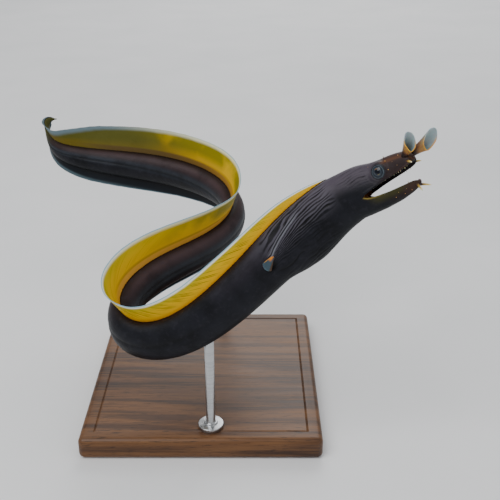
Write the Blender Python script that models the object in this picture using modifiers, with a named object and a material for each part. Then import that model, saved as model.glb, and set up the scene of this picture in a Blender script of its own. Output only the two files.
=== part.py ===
# Ribbon eel, life size, swimming on a plain display stand.
# Sizes below are in millimetres; the model is built in metres, +Z up.
# The origin is the middle of the underside of the base.
import math

import bmesh
import bpy
import numpy as np
from mathutils import Matrix, Vector

MM = 0.001

# The swimming curve: the body's middle line from the snout to the tail tip.
SPINE = [
    (96, -56, 158), (73, -49, 140), (48, -48, 117), (22, -52, 91), (-3, -53, 70), (-25, -49, 61),
    (-39, -38, 63), (-37, -21, 70), (-21, -3, 77), (2, 17, 82), (15, 40, 88), (10, 61, 95),
    (-12, 79, 100), (-42, 92, 102), (-74, 102, 103), (-98, 112, 106), (-108, 124, 112),
    (-110, 131.5, 120), (-103.5, 133, 121.5),
]
# How far the back leans at each spine point: x and y run for a rise of 1.
LEAN = [
    (0.12, 0.33), (0.09, 0.26), (0.06, 0.18), (0.03, 0.10), (0, 0.06), (0, -0.04),
    (0, -0.12), (-0.05, -0.12), (-0.05, -0.17), (-0.05, -0.21), (-0.10, -0.22), (-0.15, -0.12),
    (-0.10, 0.02), (-0.05, 0.23), (0, 0.41), (0, 0.20), (0, 0), (-0.5, 0), (-0.5, 0),
]

# Distances behind the snout tip where the body is parted into lengths.
HEAD_END = 34.0
BODY_LENGTHS = [
    ("neck", HEAD_END, 96.0),
    ("body_front", 96.0, 150.0),
    ("body_left_bend_a", 150.0, 177.0),
    ("body_left_bend_b", 177.0, 206.0),
    ("body_middle", 206.0, 255.0),
    ("body_right_bend_a", 255.0, 282.0),
    ("body_right_bend_b", 282.0, 318.0),
    ("body_rear", 318.0, 385.0),
    ("tail", 385.0, 422.0),
    ("tail_tip", 422.0, 459.6),
]
GAP = 0.3  # clearance between touching pieces
JOIN_GAP = 0.4  # clearance between two lengths of the body, along its middle line
RING_SIDES = 20
RING_STEP = 5.0
BEND_STEP = 3.4
BEND_RADIUS = 45.0  # a tighter curve than this gets the finer ring step
CURL_STEP = 1.7
CURL_RADIUS = 12.0  # and the curl at the tail tip the finest
FULLNESS = 0.9  # below 1 the flanks are fuller than an ellipse

# Body outline: distance behind the snout, crest, belly and half width.
BODY_CREST = [(34, 10.9), (40, 11.9), (64, 12.9), (101, 12.0), (134, 11.0), (177, 10.1), (252, 9.4),
              (332, 8.8), (365, 8.3), (398, 7.2), (424, 5.2), (441, 3.3), (452, 2.1), (460, 0.9)]
BODY_BELLY = [(34, 12.9), (42, 13.3), (57, 15.2), (62, 15.6), (70, 14.8), (84, 11.8), (101, 11.5),
              (134, 10.9), (177, 10.1), (252, 9.4), (332, 8.8), (365, 8.3), (398, 7.2), (424, 5.2),
              (441, 3.3), (452, 2.1), (460, 0.9)]
BODY_WIDTH = [(34, 6.9), (48, 7.7), (62, 8.3), (80, 7.6), (101, 7.3), (177, 7.2), (252, 6.9),
              (332, 6.2), (365, 5.5), (398, 4.4), (424, 3.0), (441, 1.9), (452, 1.2), (460, 0.6)]

# Upper head: crest, lip line and half width.
HEAD_CREST = [(0, 1.0), (0.6, 2.4), (1.6, 3.4), (3, 4.2), (6, 5.0), (10, 5.7), (14, 6.1), (18, 6.8),
              (22, 8.2), (26, 9.5), (34, 10.9)]
HEAD_LIP = [(0, -1.5), (0.6, -2.1), (3, -2.8), (10, -3.6), (18, -4.1), (28, -5.0), (34, -5.3)]
HEAD_WIDTH = [(0, 1.8), (0.6, 2.8), (1.6, 3.4), (3, 3.7), (10, 4.1), (18, 5.0), (26, 6.2), (34, 6.9)]
HEAD_WAIST = [(0, 0.8), (18, 0.9), (34, 5.3)]  # height of the widest place above the lip line
HEAD_TUCK = [(0, 2.5), (18, 3.0), (34, 7.6)]  # how far below the lip line the section would close
HEAD_SIDES = 9
HEAD_RING_STEPS = (0.5, 1.9)  # at the snout and at the neck
PALATE_DEPTH = [(0, 0), (0.6, 0.3), (3, 1.1), (24, 1.5), (29, 0), (34, 0)]
LIP_THICKNESS = 0.8
THIN_LIP_EDGE = 3.0  # where the jaw is narrower than this, the lips are thinner
LIP_ROUNDING = 0.1
LIP_SWELL = 0.22
SWELL_POINTS = 1.5  # the swelling spans this many points of a section
VAULT_SHOULDER = (1.6, 0.7)  # lip thicknesses in from the edge, part of the hollow's depth
VAULT_FLAT = 0.3  # part of the width where the hollow is deepest

# Lower jaw, held open: top edge, underside and half width.
JAW_START = 1.5
JAW_TOP = [(1.5, -10.9), (2.5, -10.3), (4, -10.0), (8, -9.8), (14, -9.4), (20, -8.5), (24, -7.5),
           (28, -5.8), (29.5, -5.45), (34, -5.6)]
JAW_UNDER = [(1.5, -11.9), (2.5, -12.7), (4, -13.3), (8, -14.2), (14, -14.8), (20, -14.7), (28, -13.9),
             (34, -12.9)]
JAW_WIDTH = [(1.5, 1.1), (2.5, 2.0), (4, 2.6), (8, 3.1), (14, 3.8), (20, 4.8), (28, 6.2), (34, 6.9)]
JAW_WAIST = [(1.5, 0.2), (20, 0.6), (28, 2.0), (34, 5.6)]  # height of the widest place above the edge
JAW_SIDES = 8
JAW_RING_STEPS = (0.6, 1.9)
JAW_FLOOR = [(1.5, 0), (3, 0.7), (24, 1.6), (28.5, 0), (34, 0)]

# Eyes: flattened globes set into the head.
EYE_PLACE = (16.0, 0.9, 3.3)  # behind the snout, above the middle line, out from the middle
EYE_RADIUS = 3.25
EYE_HALF_DEPTH = 2.0
EYE_SEGMENTS = 16
EYE_RINGS = 10

# Upper teeth, fused to the lips' inner side.
TOOTH_ROW = (3.5, 19.0)
TEETH_PER_SIDE = 7
TOOTH_RADIUS = 0.42
TOOTH_TIP_RADIUS = 0.08
TOOTH_SIDES = 6
TOOTH_HEIGHT = 1.3
TOOTH_SHRINK = 0.05  # each tooth is shorter than the one before it by this part of the first
TOOTH_ROOT = 0.5
TOOTH_INSET = 0.45

# Nostril scoops: a tube that flares into a leaf, its mouth open ahead. For each side: the middle
# of the mouth seen from the root, the mouth from its low rim to the leaf tip, and the mouth across,
# each as ahead, up and out.
NOSTRIL_PLACE = (2.2, 2.0, 2.7)
NOSTRIL_MOUTHS = {
    "R": ((5.5, 2.9, 4.1), (2.7, 8.9, -0.5), (-2.5, 1.4, 7.6)),
    "L": ((10.7, 2.5, 2.4), (6.8, 8.2, -0.7), (2.9, -0.5, 8.7)),
}
NOSTRIL_TUBE_RADIUS = 1.45
NOSTRIL_SINK = 2.0  # how far the tube reaches back into the snout
NOSTRIL_FLARE = 1.7  # above 1 the tube stays narrow for longer before it widens
NOSTRIL_WALL = 0.55
NOSTRIL_FLOOR = 0.3  # part of the tube's length that is solid
NOSTRIL_SIDES = 16
NOSTRIL_ROWS = 8
NOSTRIL_SEAT_PARTS = (0.0, 0.15, 0.3, 0.45, 0.6)  # parts of the tube's length that its socket follows

# Barbels: root place, root radius, tip radius, and each side's reach (ahead, up, out).
SNOUT_BARBEL = ((2.1, -1.6, 3.4), 0.75, 0.3, {"R": (1.9, -1.3, 1.2), "L": (3.4, -0.8, 1.0)})
CHIN_BARBEL = ((3.0, -12.1, 1.6), 0.8, 0.28, {"R": (1.8, -3.9, 2.4), "L": (4.0, -2.0, 2.4)})
BARBEL_SIDES = 8
BARBEL_RINGS = 5
BARBEL_TIP_ROUNDING = 0.6  # the last ring's part of the tip radius
SEAT_DEPTH = 1.2  # depth of the sockets that barbels and fans sit in
SEAT_CUT_LENGTH = 4.8  # length of the shape that cuts such a socket
SEAT_SIDES = 16

# Dorsal fin: a ribbon from the nape to the tail tip, its rays as ridges.
DORSAL_START = 38.0
DORSAL_END = 455.0
DORSAL_HEIGHT = [(38, 0.5), (50, 3.2), (64, 5.5), (101, 8.7), (134, 10.4), (158, 12.0), (177, 13.7),
                 (196, 15.0), (252, 15.6), (303, 16.5), (332, 16.6), (365, 16.3), (398, 15.0),
                 (424, 10.0), (436, 6.0), (447, 2.8), (454, 1.6), (460, 1.0)]
# Lean of the ribbon to the right of the body's own upright, in degrees: outwards at each bend.
DORSAL_FLARE = [(0, 0), (64, 0), (101, 3), (134, 12), (158, 24), (177, 31), (196, 26), (221, 9),
                (252, -9), (279, -25), (303, -25), (332, -15), (365, -5), (398, 3), (460, 5)]
RAY_SWEEP = 2.0  # a ray runs back this far for each unit of height
RAY_SPACING = 2.8
ROOT_THICKNESS = 1.3
EDGE_THICKNESS = 0.55
RAY_RELIEF = 0.16  # how far a ray stands out of the membrane on each face
FIN_ROWS = 2
FIN_GAP = 0.8

# Anal fin: a lower ribbon under the rear half.
ANAL_START = 188.0
ANAL_END = 455.0
ANAL_HEIGHT = [(188, 0.7), (206, 3.0), (221, 3.6), (252, 4.3), (303, 5.5), (365, 6.5), (398, 6.4),
               (424, 5.0), (436, 3.6), (447, 2.0), (460, 1.0)]

# Pectoral fans at the gill openings.
PECTORAL_PLACE = (79.6, 3.0)
PECTORAL_LENGTH = 6.5
PECTORAL_ROOT = 2.2
PECTORAL_SPREAD = 6.4
PECTORAL_THICKNESS = 0.7
PECTORAL_TILT = 36.0
PECTORAL_DROOP = 0.7  # how far the fan's middle hangs below its root
PECTORAL_RAYS = 6
PECTORAL_RELIEF = 0.12  # how far a ray stands out on each face
PECTORAL_THINNING = 0.2  # part of the thickness lost at the edge
PECTORAL_EDGE_CURVE = 0.22  # part of the length lost at the fan's two corners
PECTORAL_ROWS = (0.6, 3.9, 6.5)  # distances from the root to the rows of points

# Display stand.
BASE_SIZE = (124.0, 130.0, 12.0)
BASE_CORNER = 3.0
ROD_RADIUS = 2.4
ROD_FOOT_RADIUS = 6.5
ROD_FOOT_HEIGHT = 2.2
FRONT_ROD_AT = 124.0  # distance behind the snout
REAR_ROD_AT = 300.0
REAR_ROD_ASIDE = 3.7  # beside the anal fin
ROD_FOOT_SHOULDER = 0.6  # part of the foot's height where its chamfer starts
ROD_FOOT_CHAMFER = 0.8
ROD_FILLET = (0.5, 1.0)  # out from the rod and up from the foot
ROD_SIDES = 20
ROD_CUT_REACH = 14.0
SETTLE_STEPS = 40  # rounds that find where a swept ray meets the fin's edge

BLACK_SKIN = ((0.028, 0.028, 0.036, 1), 0.38, 0)
BROWN_SKIN = ((0.085, 0.060, 0.055, 1), 0.40, 0)
YELLOW_FIN = ((0.85, 0.62, 0.03, 1), 0.35, 0)
DARK_FIN = ((0.03, 0.04, 0.06, 1), 0.35, 0)
BLUE_LEAF = ((0.45, 0.56, 0.60, 1), 0.30, 0)
GOLD_FLESH = ((0.75, 0.52, 0.22, 1), 0.35, 0)
EYE_GLASS = ((0.10, 0.14, 0.22, 1), 0.06, 0)
OILED_WALNUT = ((0.12, 0.062, 0.032, 1), 0.45, 0)
BRUSHED_STEEL = ((0.60, 0.60, 0.60, 1), 0.30, 1)


def natural_spline(values):
    """Second derivatives of the natural cubic spline through evenly spaced values."""
    values = np.asarray(values, float)
    matrix = np.eye(len(values))
    right = np.zeros_like(values)
    for i in range(1, len(values) - 1):
        matrix[i, i - 1:i + 2] = (1, 4, 1)
        right[i] = 6 * (values[i - 1] - 2 * values[i] + values[i + 1])
    return values, np.linalg.solve(matrix, right)


def spline_at(spline, t):
    """Value of a natural spline at parameter t, counted in spans."""
    values, bends = spline
    i = int(min(max(math.floor(t), 0), len(values) - 2))
    b = t - i
    a = 1 - b
    ends = a * values[i] + b * values[i + 1]
    return ends + ((a ** 3 - a) * bends[i] + (b ** 3 - b) * bends[i + 1]) / 6


def profile(keys, at):
    """Smooth value at a place between key places, with no overshoot between them."""
    xs = [k[0] for k in keys]
    ys = [k[1] for k in keys]
    if at <= xs[0]:
        return ys[0]
    if at >= xs[-1]:
        return ys[-1]
    slopes = [(ys[i + 1] - ys[i]) / (xs[i + 1] - xs[i]) for i in range(len(xs) - 1)]

    def tangent(i):
        if i == 0 or i == len(xs) - 1:
            return slopes[min(i, len(slopes) - 1)]
        before, after = slopes[i - 1], slopes[i]
        if before * after <= 0:
            return 0.0
        return 2 * before * after / (before + after)

    i = max(k for k in range(len(xs) - 1) if xs[k] <= at)
    span = xs[i + 1] - xs[i]
    u = (at - xs[i]) / span
    start = (1 + 2 * u) * (1 - u) ** 2 * ys[i] + u * (1 - u) ** 2 * span * tangent(i)
    end = u * u * (3 - 2 * u) * ys[i + 1] + u * u * (u - 1) * span * tangent(i + 1)
    return start + end


class Spine:
    """The body's middle line, measured by distance from the snout tip."""

    def __init__(self, samples_per_span=60):
        self.line = natural_spline(SPINE)
        self.lean = natural_spline(LEAN)
        self.params = np.linspace(0, len(SPINE) - 1, samples_per_span * (len(SPINE) - 1) + 1)
        points = np.array([spline_at(self.line, t) for t in self.params])
        steps = np.linalg.norm(np.diff(points, axis=0), axis=1)
        self.distances = np.concatenate([[0], np.cumsum(steps)])

    def frame(self, distance):
        """Point on the line with the directions back, up and to the right side there."""
        t = float(np.interp(distance, self.distances, self.params))
        small = 0.01
        back = spline_at(self.line, t + small) - spline_at(self.line, t - small)
        back /= np.linalg.norm(back)
        lean = spline_at(self.lean, t)
        up = np.array([lean[0], lean[1], 1.0])
        up -= up.dot(back) * back
        up /= np.linalg.norm(up)
        return spline_at(self.line, t), back, up, np.cross(up, back)

    def place(self, distance, side, height):
        """Point beside and above the middle line."""
        point, _, up, right = self.frame(distance)
        return point + right * side + up * height

    def bend_radius(self, distance):
        step = 2.0
        before = self.frame(distance - step)[1]
        after = self.frame(distance + step)[1]
        turn = math.acos(max(-1.0, min(1.0, float(before.dot(after)))))
        return 2 * step / max(turn, 1e-6)


def make_material(name, look):
    colour, roughness, metallic = look
    material = bpy.data.materials.new(name)
    material.use_nodes = True
    shader = material.node_tree.nodes["Principled BSDF"]
    shader.inputs["Base Color"].default_value = colour
    shader.inputs["Roughness"].default_value = roughness
    shader.inputs["Metallic"].default_value = metallic
    material.diffuse_color = colour
    return material


def add_object(name, mesh, collection, look=None):
    """Object in the collection, with a material of its own where it has a look."""
    obj = bpy.data.objects.new(name, mesh)
    collection.objects.link(obj)
    if look:
        mesh.materials.append(make_material(name, look))
        mesh.shade_smooth()
        mesh.set_sharp_from_angle(angle=math.radians(40))
    else:
        obj.hide_render = True
        obj.display_type = "WIRE"
    return obj


def mesh_from(name, build):
    """Mesh filled by a function that works on a bmesh, with its faces pointing out."""
    mesh = bpy.data.meshes.new(name)
    bm = bmesh.new()
    build(bm)
    bmesh.ops.recalc_face_normals(bm, faces=bm.faces)
    bm.to_mesh(mesh)
    bm.free()
    return mesh


def loft(bm, rings, cap_ends=True):
    """Closed skin through rings of equal count, each quad split along the same diagonal."""
    rows = [[bm.verts.new(Vector(p) * MM) for p in ring] for ring in rings]
    count = len(rows[0])
    for near, far in zip(rows, rows[1:]):
        for i in range(count):
            k = (i + 1) % count
            bm.faces.new((near[i], near[k], far[k]))
            bm.faces.new((near[i], far[k], far[i]))
    if cap_ends:
        bm.faces.new(rows[0])
        bm.faces.new(rows[-1])
    return rows


def ring_places(spine, start, end):
    """Distances for the rings of a length, closer together where it bends."""
    places = [start]
    while places[-1] < end:
        radius = spine.bend_radius(min(places[-1] + RING_STEP, end))
        step = RING_STEP if radius > BEND_RADIUS else BEND_STEP if radius > CURL_RADIUS else CURL_STEP
        places.append(places[-1] + step)
    scale = (end - start) / (places[-1] - start)
    return [start + (p - start) * scale for p in places]


def body_section(distance, grow=0.0):
    """Side and height of each point round the body."""
    crest = profile(BODY_CREST, distance) + grow
    belly = profile(BODY_BELLY, distance) + grow
    width = profile(BODY_WIDTH, distance) + grow
    points = []
    for i in range(RING_SIDES):
        angle = math.tau * i / RING_SIDES
        side = math.sin(angle)
        up = math.cos(angle)
        points.append((math.copysign(abs(side) ** FULLNESS, side) * width, up * (crest if up > 0 else belly)))
    return points


def body_rings(spine, start, end, grow=0.0):
    rings = []
    for distance in ring_places(spine, start, end):
        rings.append([spine.place(distance, *p) for p in body_section(distance, grow)])
    return rings


def half_arc(centre, reach, width, stop, count, swell):
    """Points of half a section, from its top or bottom round the flank to a lip at height stop."""
    last = math.acos(max(-1.0, min(1.0, (stop - centre) / reach[1])))
    points = []
    for i in range(count + 1):
        angle = last * i / count
        up = math.cos(angle)
        height = centre + up * (reach[0] if up > 0 else reach[1])
        bulge = swell * max(0.0, 1 - (count - i) / SWELL_POINTS)
        points.append((abs(math.sin(angle)) ** FULLNESS * width + bulge, height))
    return points


def with_hollow(outer, lip, hollow):
    """Whole section from the right half of its outside, with a hollow that rises or falls from the lip."""
    edge = outer[-1][0]
    lip_width = LIP_THICKNESS * min(1.0, edge / THIN_LIP_EDGE)
    rounding = math.copysign(LIP_ROUNDING * min(1.0, abs(hollow)), hollow)
    inner = [
        (edge - lip_width, lip - rounding),
        (edge - VAULT_SHOULDER[0] * lip_width, lip + hollow * VAULT_SHOULDER[1]),
        (edge * VAULT_FLAT, lip + hollow),
        (0.0, lip + hollow),
    ]
    right = outer + inner
    left = [(-side, height) for side, height in reversed(right[1:-1])]
    return right + left


def head_section(distance):
    lip = profile(HEAD_LIP, distance)
    width = profile(HEAD_WIDTH, distance)
    centre = lip + profile(HEAD_WAIST, distance)
    crest = profile(HEAD_CREST, distance) - centre
    under = centre - (lip - profile(HEAD_TUCK, distance))
    hollow = profile(PALATE_DEPTH, distance)
    swell = LIP_SWELL * min(1.0, hollow)
    return with_hollow(half_arc(centre, (crest, under), width, lip, HEAD_SIDES, swell), lip, hollow)


def jaw_section(distance):
    top = profile(JAW_TOP, distance)
    width = profile(JAW_WIDTH, distance)
    centre = top + profile(JAW_WAIST, distance)
    under = centre - profile(JAW_UNDER, distance)
    hollow = profile(JAW_FLOOR, distance)
    swell = LIP_SWELL * min(1.0, hollow)
    flipped = half_arc(-centre, (under, under), width, -top, JAW_SIDES, swell)
    return with_hollow([(side, -height) for side, height in flipped], top, -hollow)


def spread(start, end, first, last):
    """Places from start to end whose spacing grows evenly from first to last."""
    count = max(2, round((end - start) / ((first + last) / 2)))
    places = [0.0]
    for i in range(count):
        places.append(places[-1] + first + (last - first) * i / (count - 1))
    return [start + (end - start) * p / places[-1] for p in places]


def add_boolean(obj, cutter, operation="DIFFERENCE"):
    modifier = obj.modifiers.new(cutter.name, "BOOLEAN")
    modifier.operation = operation
    modifier.solver = "EXACT"
    modifier.object = cutter


def head_axes(spine, distance):
    """Directions ahead, up and right on the head."""
    _, back, up, right = spine.frame(distance)
    return -back, up, right


def turned_to(direction, centre):
    """Transform that stands a piece's Z along a direction at a point, in metres."""
    turn = Vector((0, 0, 1)).rotation_difference(Vector(direction)).to_matrix().to_4x4()
    return Matrix.Translation(Vector(centre) * MM) @ turn


def reach_of(spine, place, reach, side):
    """Root point and reach vector of something that grows from the head."""
    distance, height, out = place
    ahead, up, right = head_axes(spine, distance)
    root = spine.place(distance, side * out, height)
    return root, ahead * reach[0] + up * reach[1] + right * (side * reach[2])


def seat_cutter(name, root, reach, thick, thin, cutters):
    """Tapering socket round the foot of something that grows from root along reach."""
    length = float(np.linalg.norm(reach))
    axis = reach / length
    depth = SEAT_CUT_LENGTH
    far = thick + (thin - thick) * min(1.0, depth / length)
    mesh = mesh_from(name, lambda bm: bmesh.ops.create_cone(
        bm, cap_ends=True, segments=SEAT_SIDES, radius1=(thick + GAP) * MM, radius2=(far + GAP) * MM,
        depth=depth * MM, matrix=turned_to(axis, root + axis * (depth / 2 - GAP))))
    return add_object(name, mesh, cutters)


def build_head(spine, parts, cutters):
    places = spread(0.0, HEAD_END - JOIN_GAP / 2, *HEAD_RING_STEPS)
    rings = [[spine.place(d, *p) for p in head_section(d)] for d in places]
    head = add_object("head", mesh_from("head", lambda bm: loft(bm, rings)), parts, BROWN_SKIN)
    add_boolean(head, build_teeth(spine, cutters), "UNION")
    return head


def build_teeth(spine, cutters):
    """Two rows of small cones, roots sunk into the upper lips."""
    def build(bm):
        for side in (1, -1):
            for i in range(TEETH_PER_SIDE):
                distance = TOOTH_ROW[0] + (TOOTH_ROW[1] - TOOTH_ROW[0]) * i / (TEETH_PER_SIDE - 1)
                section = head_section(distance)
                edge, lip = section[HEAD_SIDES]
                height = TOOTH_HEIGHT * (1.0 - TOOTH_SHRINK * i)
                _, _, up, _ = spine.frame(distance)
                middle = spine.place(distance, side * (edge - TOOTH_INSET), lip + TOOTH_ROOT - height / 2)
                bmesh.ops.create_cone(bm, cap_ends=True, segments=TOOTH_SIDES, radius1=TOOTH_RADIUS * MM,
                                      radius2=TOOTH_TIP_RADIUS * MM, depth=height * MM,
                                      matrix=turned_to(-up, middle))
    return add_object("tooth_rows", mesh_from("tooth_rows", build), cutters)


def build_jaw(spine, parts):
    places = spread(JAW_START, HEAD_END - JOIN_GAP / 2, *JAW_RING_STEPS)
    rings = [[spine.place(d, *p) for p in jaw_section(d)] for d in places]
    return add_object("lower_jaw", mesh_from("lower_jaw", lambda bm: loft(bm, rings)), parts, BROWN_SKIN)


def globe(name, spine, side, grow, collection, look=None):
    """Flattened eye globe, or with grow its socket."""
    distance, height, out = EYE_PLACE
    ahead, up, right = head_axes(spine, distance)
    scale = Matrix.Diagonal((EYE_RADIUS + grow, EYE_RADIUS + grow, EYE_HALF_DEPTH + grow, 1))
    place = turned_to(right * side, spine.place(distance, side * out, height))
    mesh = mesh_from(name, lambda bm: bmesh.ops.create_uvsphere(
        bm, u_segments=EYE_SEGMENTS, v_segments=EYE_RINGS, radius=MM, matrix=place @ scale))
    return add_object(name, mesh, collection, look)


class Scoop:
    """A nostril: a round tube that flares to an oval mouth, set slantwise on its end."""

    def __init__(self, spine, letter, side):
        def along_head(values):
            ahead, up, right = head_axes(spine, NOSTRIL_PLACE[0])
            return ahead * values[0] + up * values[1] + right * (side * values[2])

        middle, tall, wide = (along_head(v) for v in NOSTRIL_MOUTHS[letter])
        distance, height, out = NOSTRIL_PLACE
        self.axis = middle / np.linalg.norm(middle)
        self.root = spine.place(distance, side * out, height) - self.axis * NOSTRIL_SINK
        self.reach = middle + self.axis * NOSTRIL_SINK
        self.mouth = (-tall / 2, wide / 2)
        front = -tall + tall.dot(self.axis) * self.axis
        front /= np.linalg.norm(front)
        across = np.cross(self.axis, front)
        if across.dot(wide) < 0:
            across = -across
        self.tube = (front * NOSTRIL_TUBE_RADIUS, across * NOSTRIL_TUBE_RADIUS)

    def point(self, angle, part):
        flare = max(0.0, part) ** NOSTRIL_FLARE
        c, s = math.cos(angle), math.sin(angle)
        narrow = self.tube[0] * c + self.tube[1] * s
        wide = self.mouth[0] * c + self.mouth[1] * s
        return self.root + self.reach * part + narrow * (1 - flare) + wide * flare

    def ring(self, part, grow):
        """Points round the wall at a part of its length, moved out by grow."""
        small = 0.01
        points = []
        for i in range(NOSTRIL_SIDES):
            angle = math.tau * i / NOSTRIL_SIDES
            round_it = self.point(angle + small, part) - self.point(angle - small, part)
            along_it = self.point(angle, part + small) - self.point(angle, part - small)
            normal = np.cross(round_it, along_it)
            normal /= np.linalg.norm(normal)
            here = self.point(angle, part)
            if normal.dot(here - self.root - self.reach * part) < 0:
                normal = -normal
            points.append(here + normal * grow)
        return points

    def wall(self):
        """Rings up the outside to the rim and down the inside to the tube's floor."""
        parts = [row / NOSTRIL_ROWS for row in range(NOSTRIL_ROWS + 1)]
        outer = [self.ring(part, 0.0) for part in parts]
        inner = [self.ring(NOSTRIL_FLOOR + (1 - NOSTRIL_FLOOR) * part, -NOSTRIL_WALL) for part in parts]
        return outer + inner[::-1]

    def seat(self):
        """Rings of the socket that the tube sits in, GAP wider all round."""
        rings = [self.ring(part, GAP) for part in NOSTRIL_SEAT_PARTS]
        return [[p - self.axis * GAP for p in rings[0]]] + rings[1:]


def build_nostril(letter, spine, side, head, parts, cutters):
    name = f"nostril_{letter}"
    scoop = Scoop(spine, letter, side)
    seat = mesh_from(name + "_seat", lambda bm: loft(bm, scoop.seat()))
    add_boolean(head, add_object(name + "_seat", seat, cutters))
    return add_object(name, mesh_from(name, lambda bm: loft(bm, scoop.wall())), parts, BLUE_LEAF)


def build_barbel(name, letter, spine, barbel, side, owner, parts, cutters):
    """Short tapering feeler with a rounded tip, in a socket of its owner."""
    place, thick, thin, reaches = barbel
    name = f"{name}_{letter}"
    root, reach = reach_of(spine, place, reaches[letter], side)
    axis = reach / np.linalg.norm(reach)
    root = root - axis * SEAT_DEPTH
    reach = reach + axis * SEAT_DEPTH
    up = np.cross(axis, (0.0, 1.0, 0.0))
    up /= np.linalg.norm(up)
    across = np.cross(axis, up)
    rings = []
    for i in range(BARBEL_RINGS + 1):
        part = i / BARBEL_RINGS
        radius = thick + (thin - thick) * part
        if i == BARBEL_RINGS:
            radius *= BARBEL_TIP_ROUNDING
        middle = root + reach * part
        rings.append([middle + (up * math.cos(a) + across * math.sin(a)) * radius
                      for a in (math.tau * k / BARBEL_SIDES for k in range(BARBEL_SIDES))])
    add_boolean(owner, seat_cutter(name + "_seat", root, reach, thick, thin, cutters))
    return add_object(name, mesh_from(name, lambda bm: loft(bm, rings)), parts, GOLD_FLESH)


def fin_reach(keys, base):
    """Height of the ray that leaves the base at a place and runs back to the fin's edge."""
    height = 0.0
    for _ in range(SETTLE_STEPS):
        height += (profile(keys, base + RAY_SWEEP * height) - height) * 0.5
    return height


def fin_columns(start, end):
    """Base places of rays and of the membrane between them: (place, is_ray)."""
    count = max(2, round((end - start) / RAY_SPACING * 2))
    count += count % 2
    return [(start + (end - start) * i / count, i % 2 == 0) for i in range(count + 1)]


def fin_mesh(name, spine, keys, start, end, sign, rows, flare):
    """Ribbon along the back (sign 1) or the belly (sign -1), split alike on both faces."""
    rings = []
    for base, is_ray in fin_columns(start, end):
        tall = fin_reach(keys, base)
        right_side = []
        left_side = []
        for row in range(rows + 1):
            height = GAP + (tall - GAP) * row / rows
            distance = min(base + RAY_SWEEP * tall * row / rows, spine.distances[-1])
            point, _, up, right = spine.frame(distance)
            root = profile(BODY_CREST if sign > 0 else BODY_BELLY, distance)
            lean = math.radians(profile(flare, distance)) if flare else 0.0
            rise = up * (sign * math.cos(lean)) + right * math.sin(lean)
            across = right * math.cos(lean) - up * (sign * math.sin(lean))
            if row == 0:
                across = right
            half = (ROOT_THICKNESS + (EDGE_THICKNESS - ROOT_THICKNESS) * row / rows) / 2
            if is_ray and row < rows:
                half += RAY_RELIEF
            middle = point + up * (sign * root) + rise * height
            right_side.append(middle + across * half)
            left_side.append(middle - across * half)
        rings.append(right_side + left_side[::-1])

    def build(bm):
        columns = [[bm.verts.new(Vector(p) * MM) for p in ring] for ring in rings]
        count = len(columns[0])
        for near, far in zip(columns, columns[1:]):
            for i in range(count):
                k = (i + 1) % count
                if i < count / 2:
                    bm.faces.new((near[i], near[k], far[k]))
                    bm.faces.new((near[i], far[k], far[i]))
                else:
                    bm.faces.new((near[i], near[k], far[i]))
                    bm.faces.new((near[k], far[k], far[i]))
        for column in (columns[0], columns[-1]):
            for i in range(count // 2 - 1):
                bm.faces.new((column[i], column[i + 1], column[count - 2 - i], column[count - 1 - i]))

    return mesh_from(name, build)


def build_fins(spine, parts):
    """Dorsal and anal ribbons, parted where the body is."""
    for number, (_, start, end) in enumerate(BODY_LENGTHS, 1):
        first = max(start, DORSAL_START) + FIN_GAP / 2
        last = min(end, DORSAL_END) - FIN_GAP / 2
        name = f"dorsal_fin_{number}"
        mesh = fin_mesh(name, spine, DORSAL_HEIGHT, first, last, 1, FIN_ROWS, DORSAL_FLARE)
        add_object(name, mesh, parts, YELLOW_FIN)
    number = 0
    for _, start, end in BODY_LENGTHS:
        if end <= ANAL_START + 10:
            continue
        number += 1
        first = max(start, ANAL_START) + FIN_GAP / 2
        last = min(end, ANAL_END) - FIN_GAP / 2
        name = f"anal_fin_{number}"
        mesh = fin_mesh(name, spine, ANAL_HEIGHT, first, last, -1, 1, None)
        add_object(name, mesh, parts, DARK_FIN)


def build_body(spine, parts):
    made = {}
    for name, start, end in BODY_LENGTHS:
        rings = body_rings(spine, start + JOIN_GAP / 2, end - JOIN_GAP / 2)
        mesh = mesh_from(name, lambda bm, rings=rings: loft(bm, rings))
        made[name] = add_object(name, mesh, parts, BLACK_SKIN)
    return made


def pectoral_frame(spine, side):
    """Root point and the fan's directions: along it, across it and through its thickness."""
    distance, height = PECTORAL_PLACE
    point, back, up, right = spine.frame(distance)
    width = profile(BODY_WIDTH, distance) * math.sqrt(1 - (height / profile(BODY_CREST, distance)) ** 2)
    root = spine.place(distance, side * width, height)
    tilt = math.radians(PECTORAL_TILT)
    out = right * side
    along = back * math.cos(tilt) + out * math.sin(tilt)
    across = up - up.dot(along) * along
    across /= np.linalg.norm(across)
    return root, along, across, np.cross(along, across)


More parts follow.
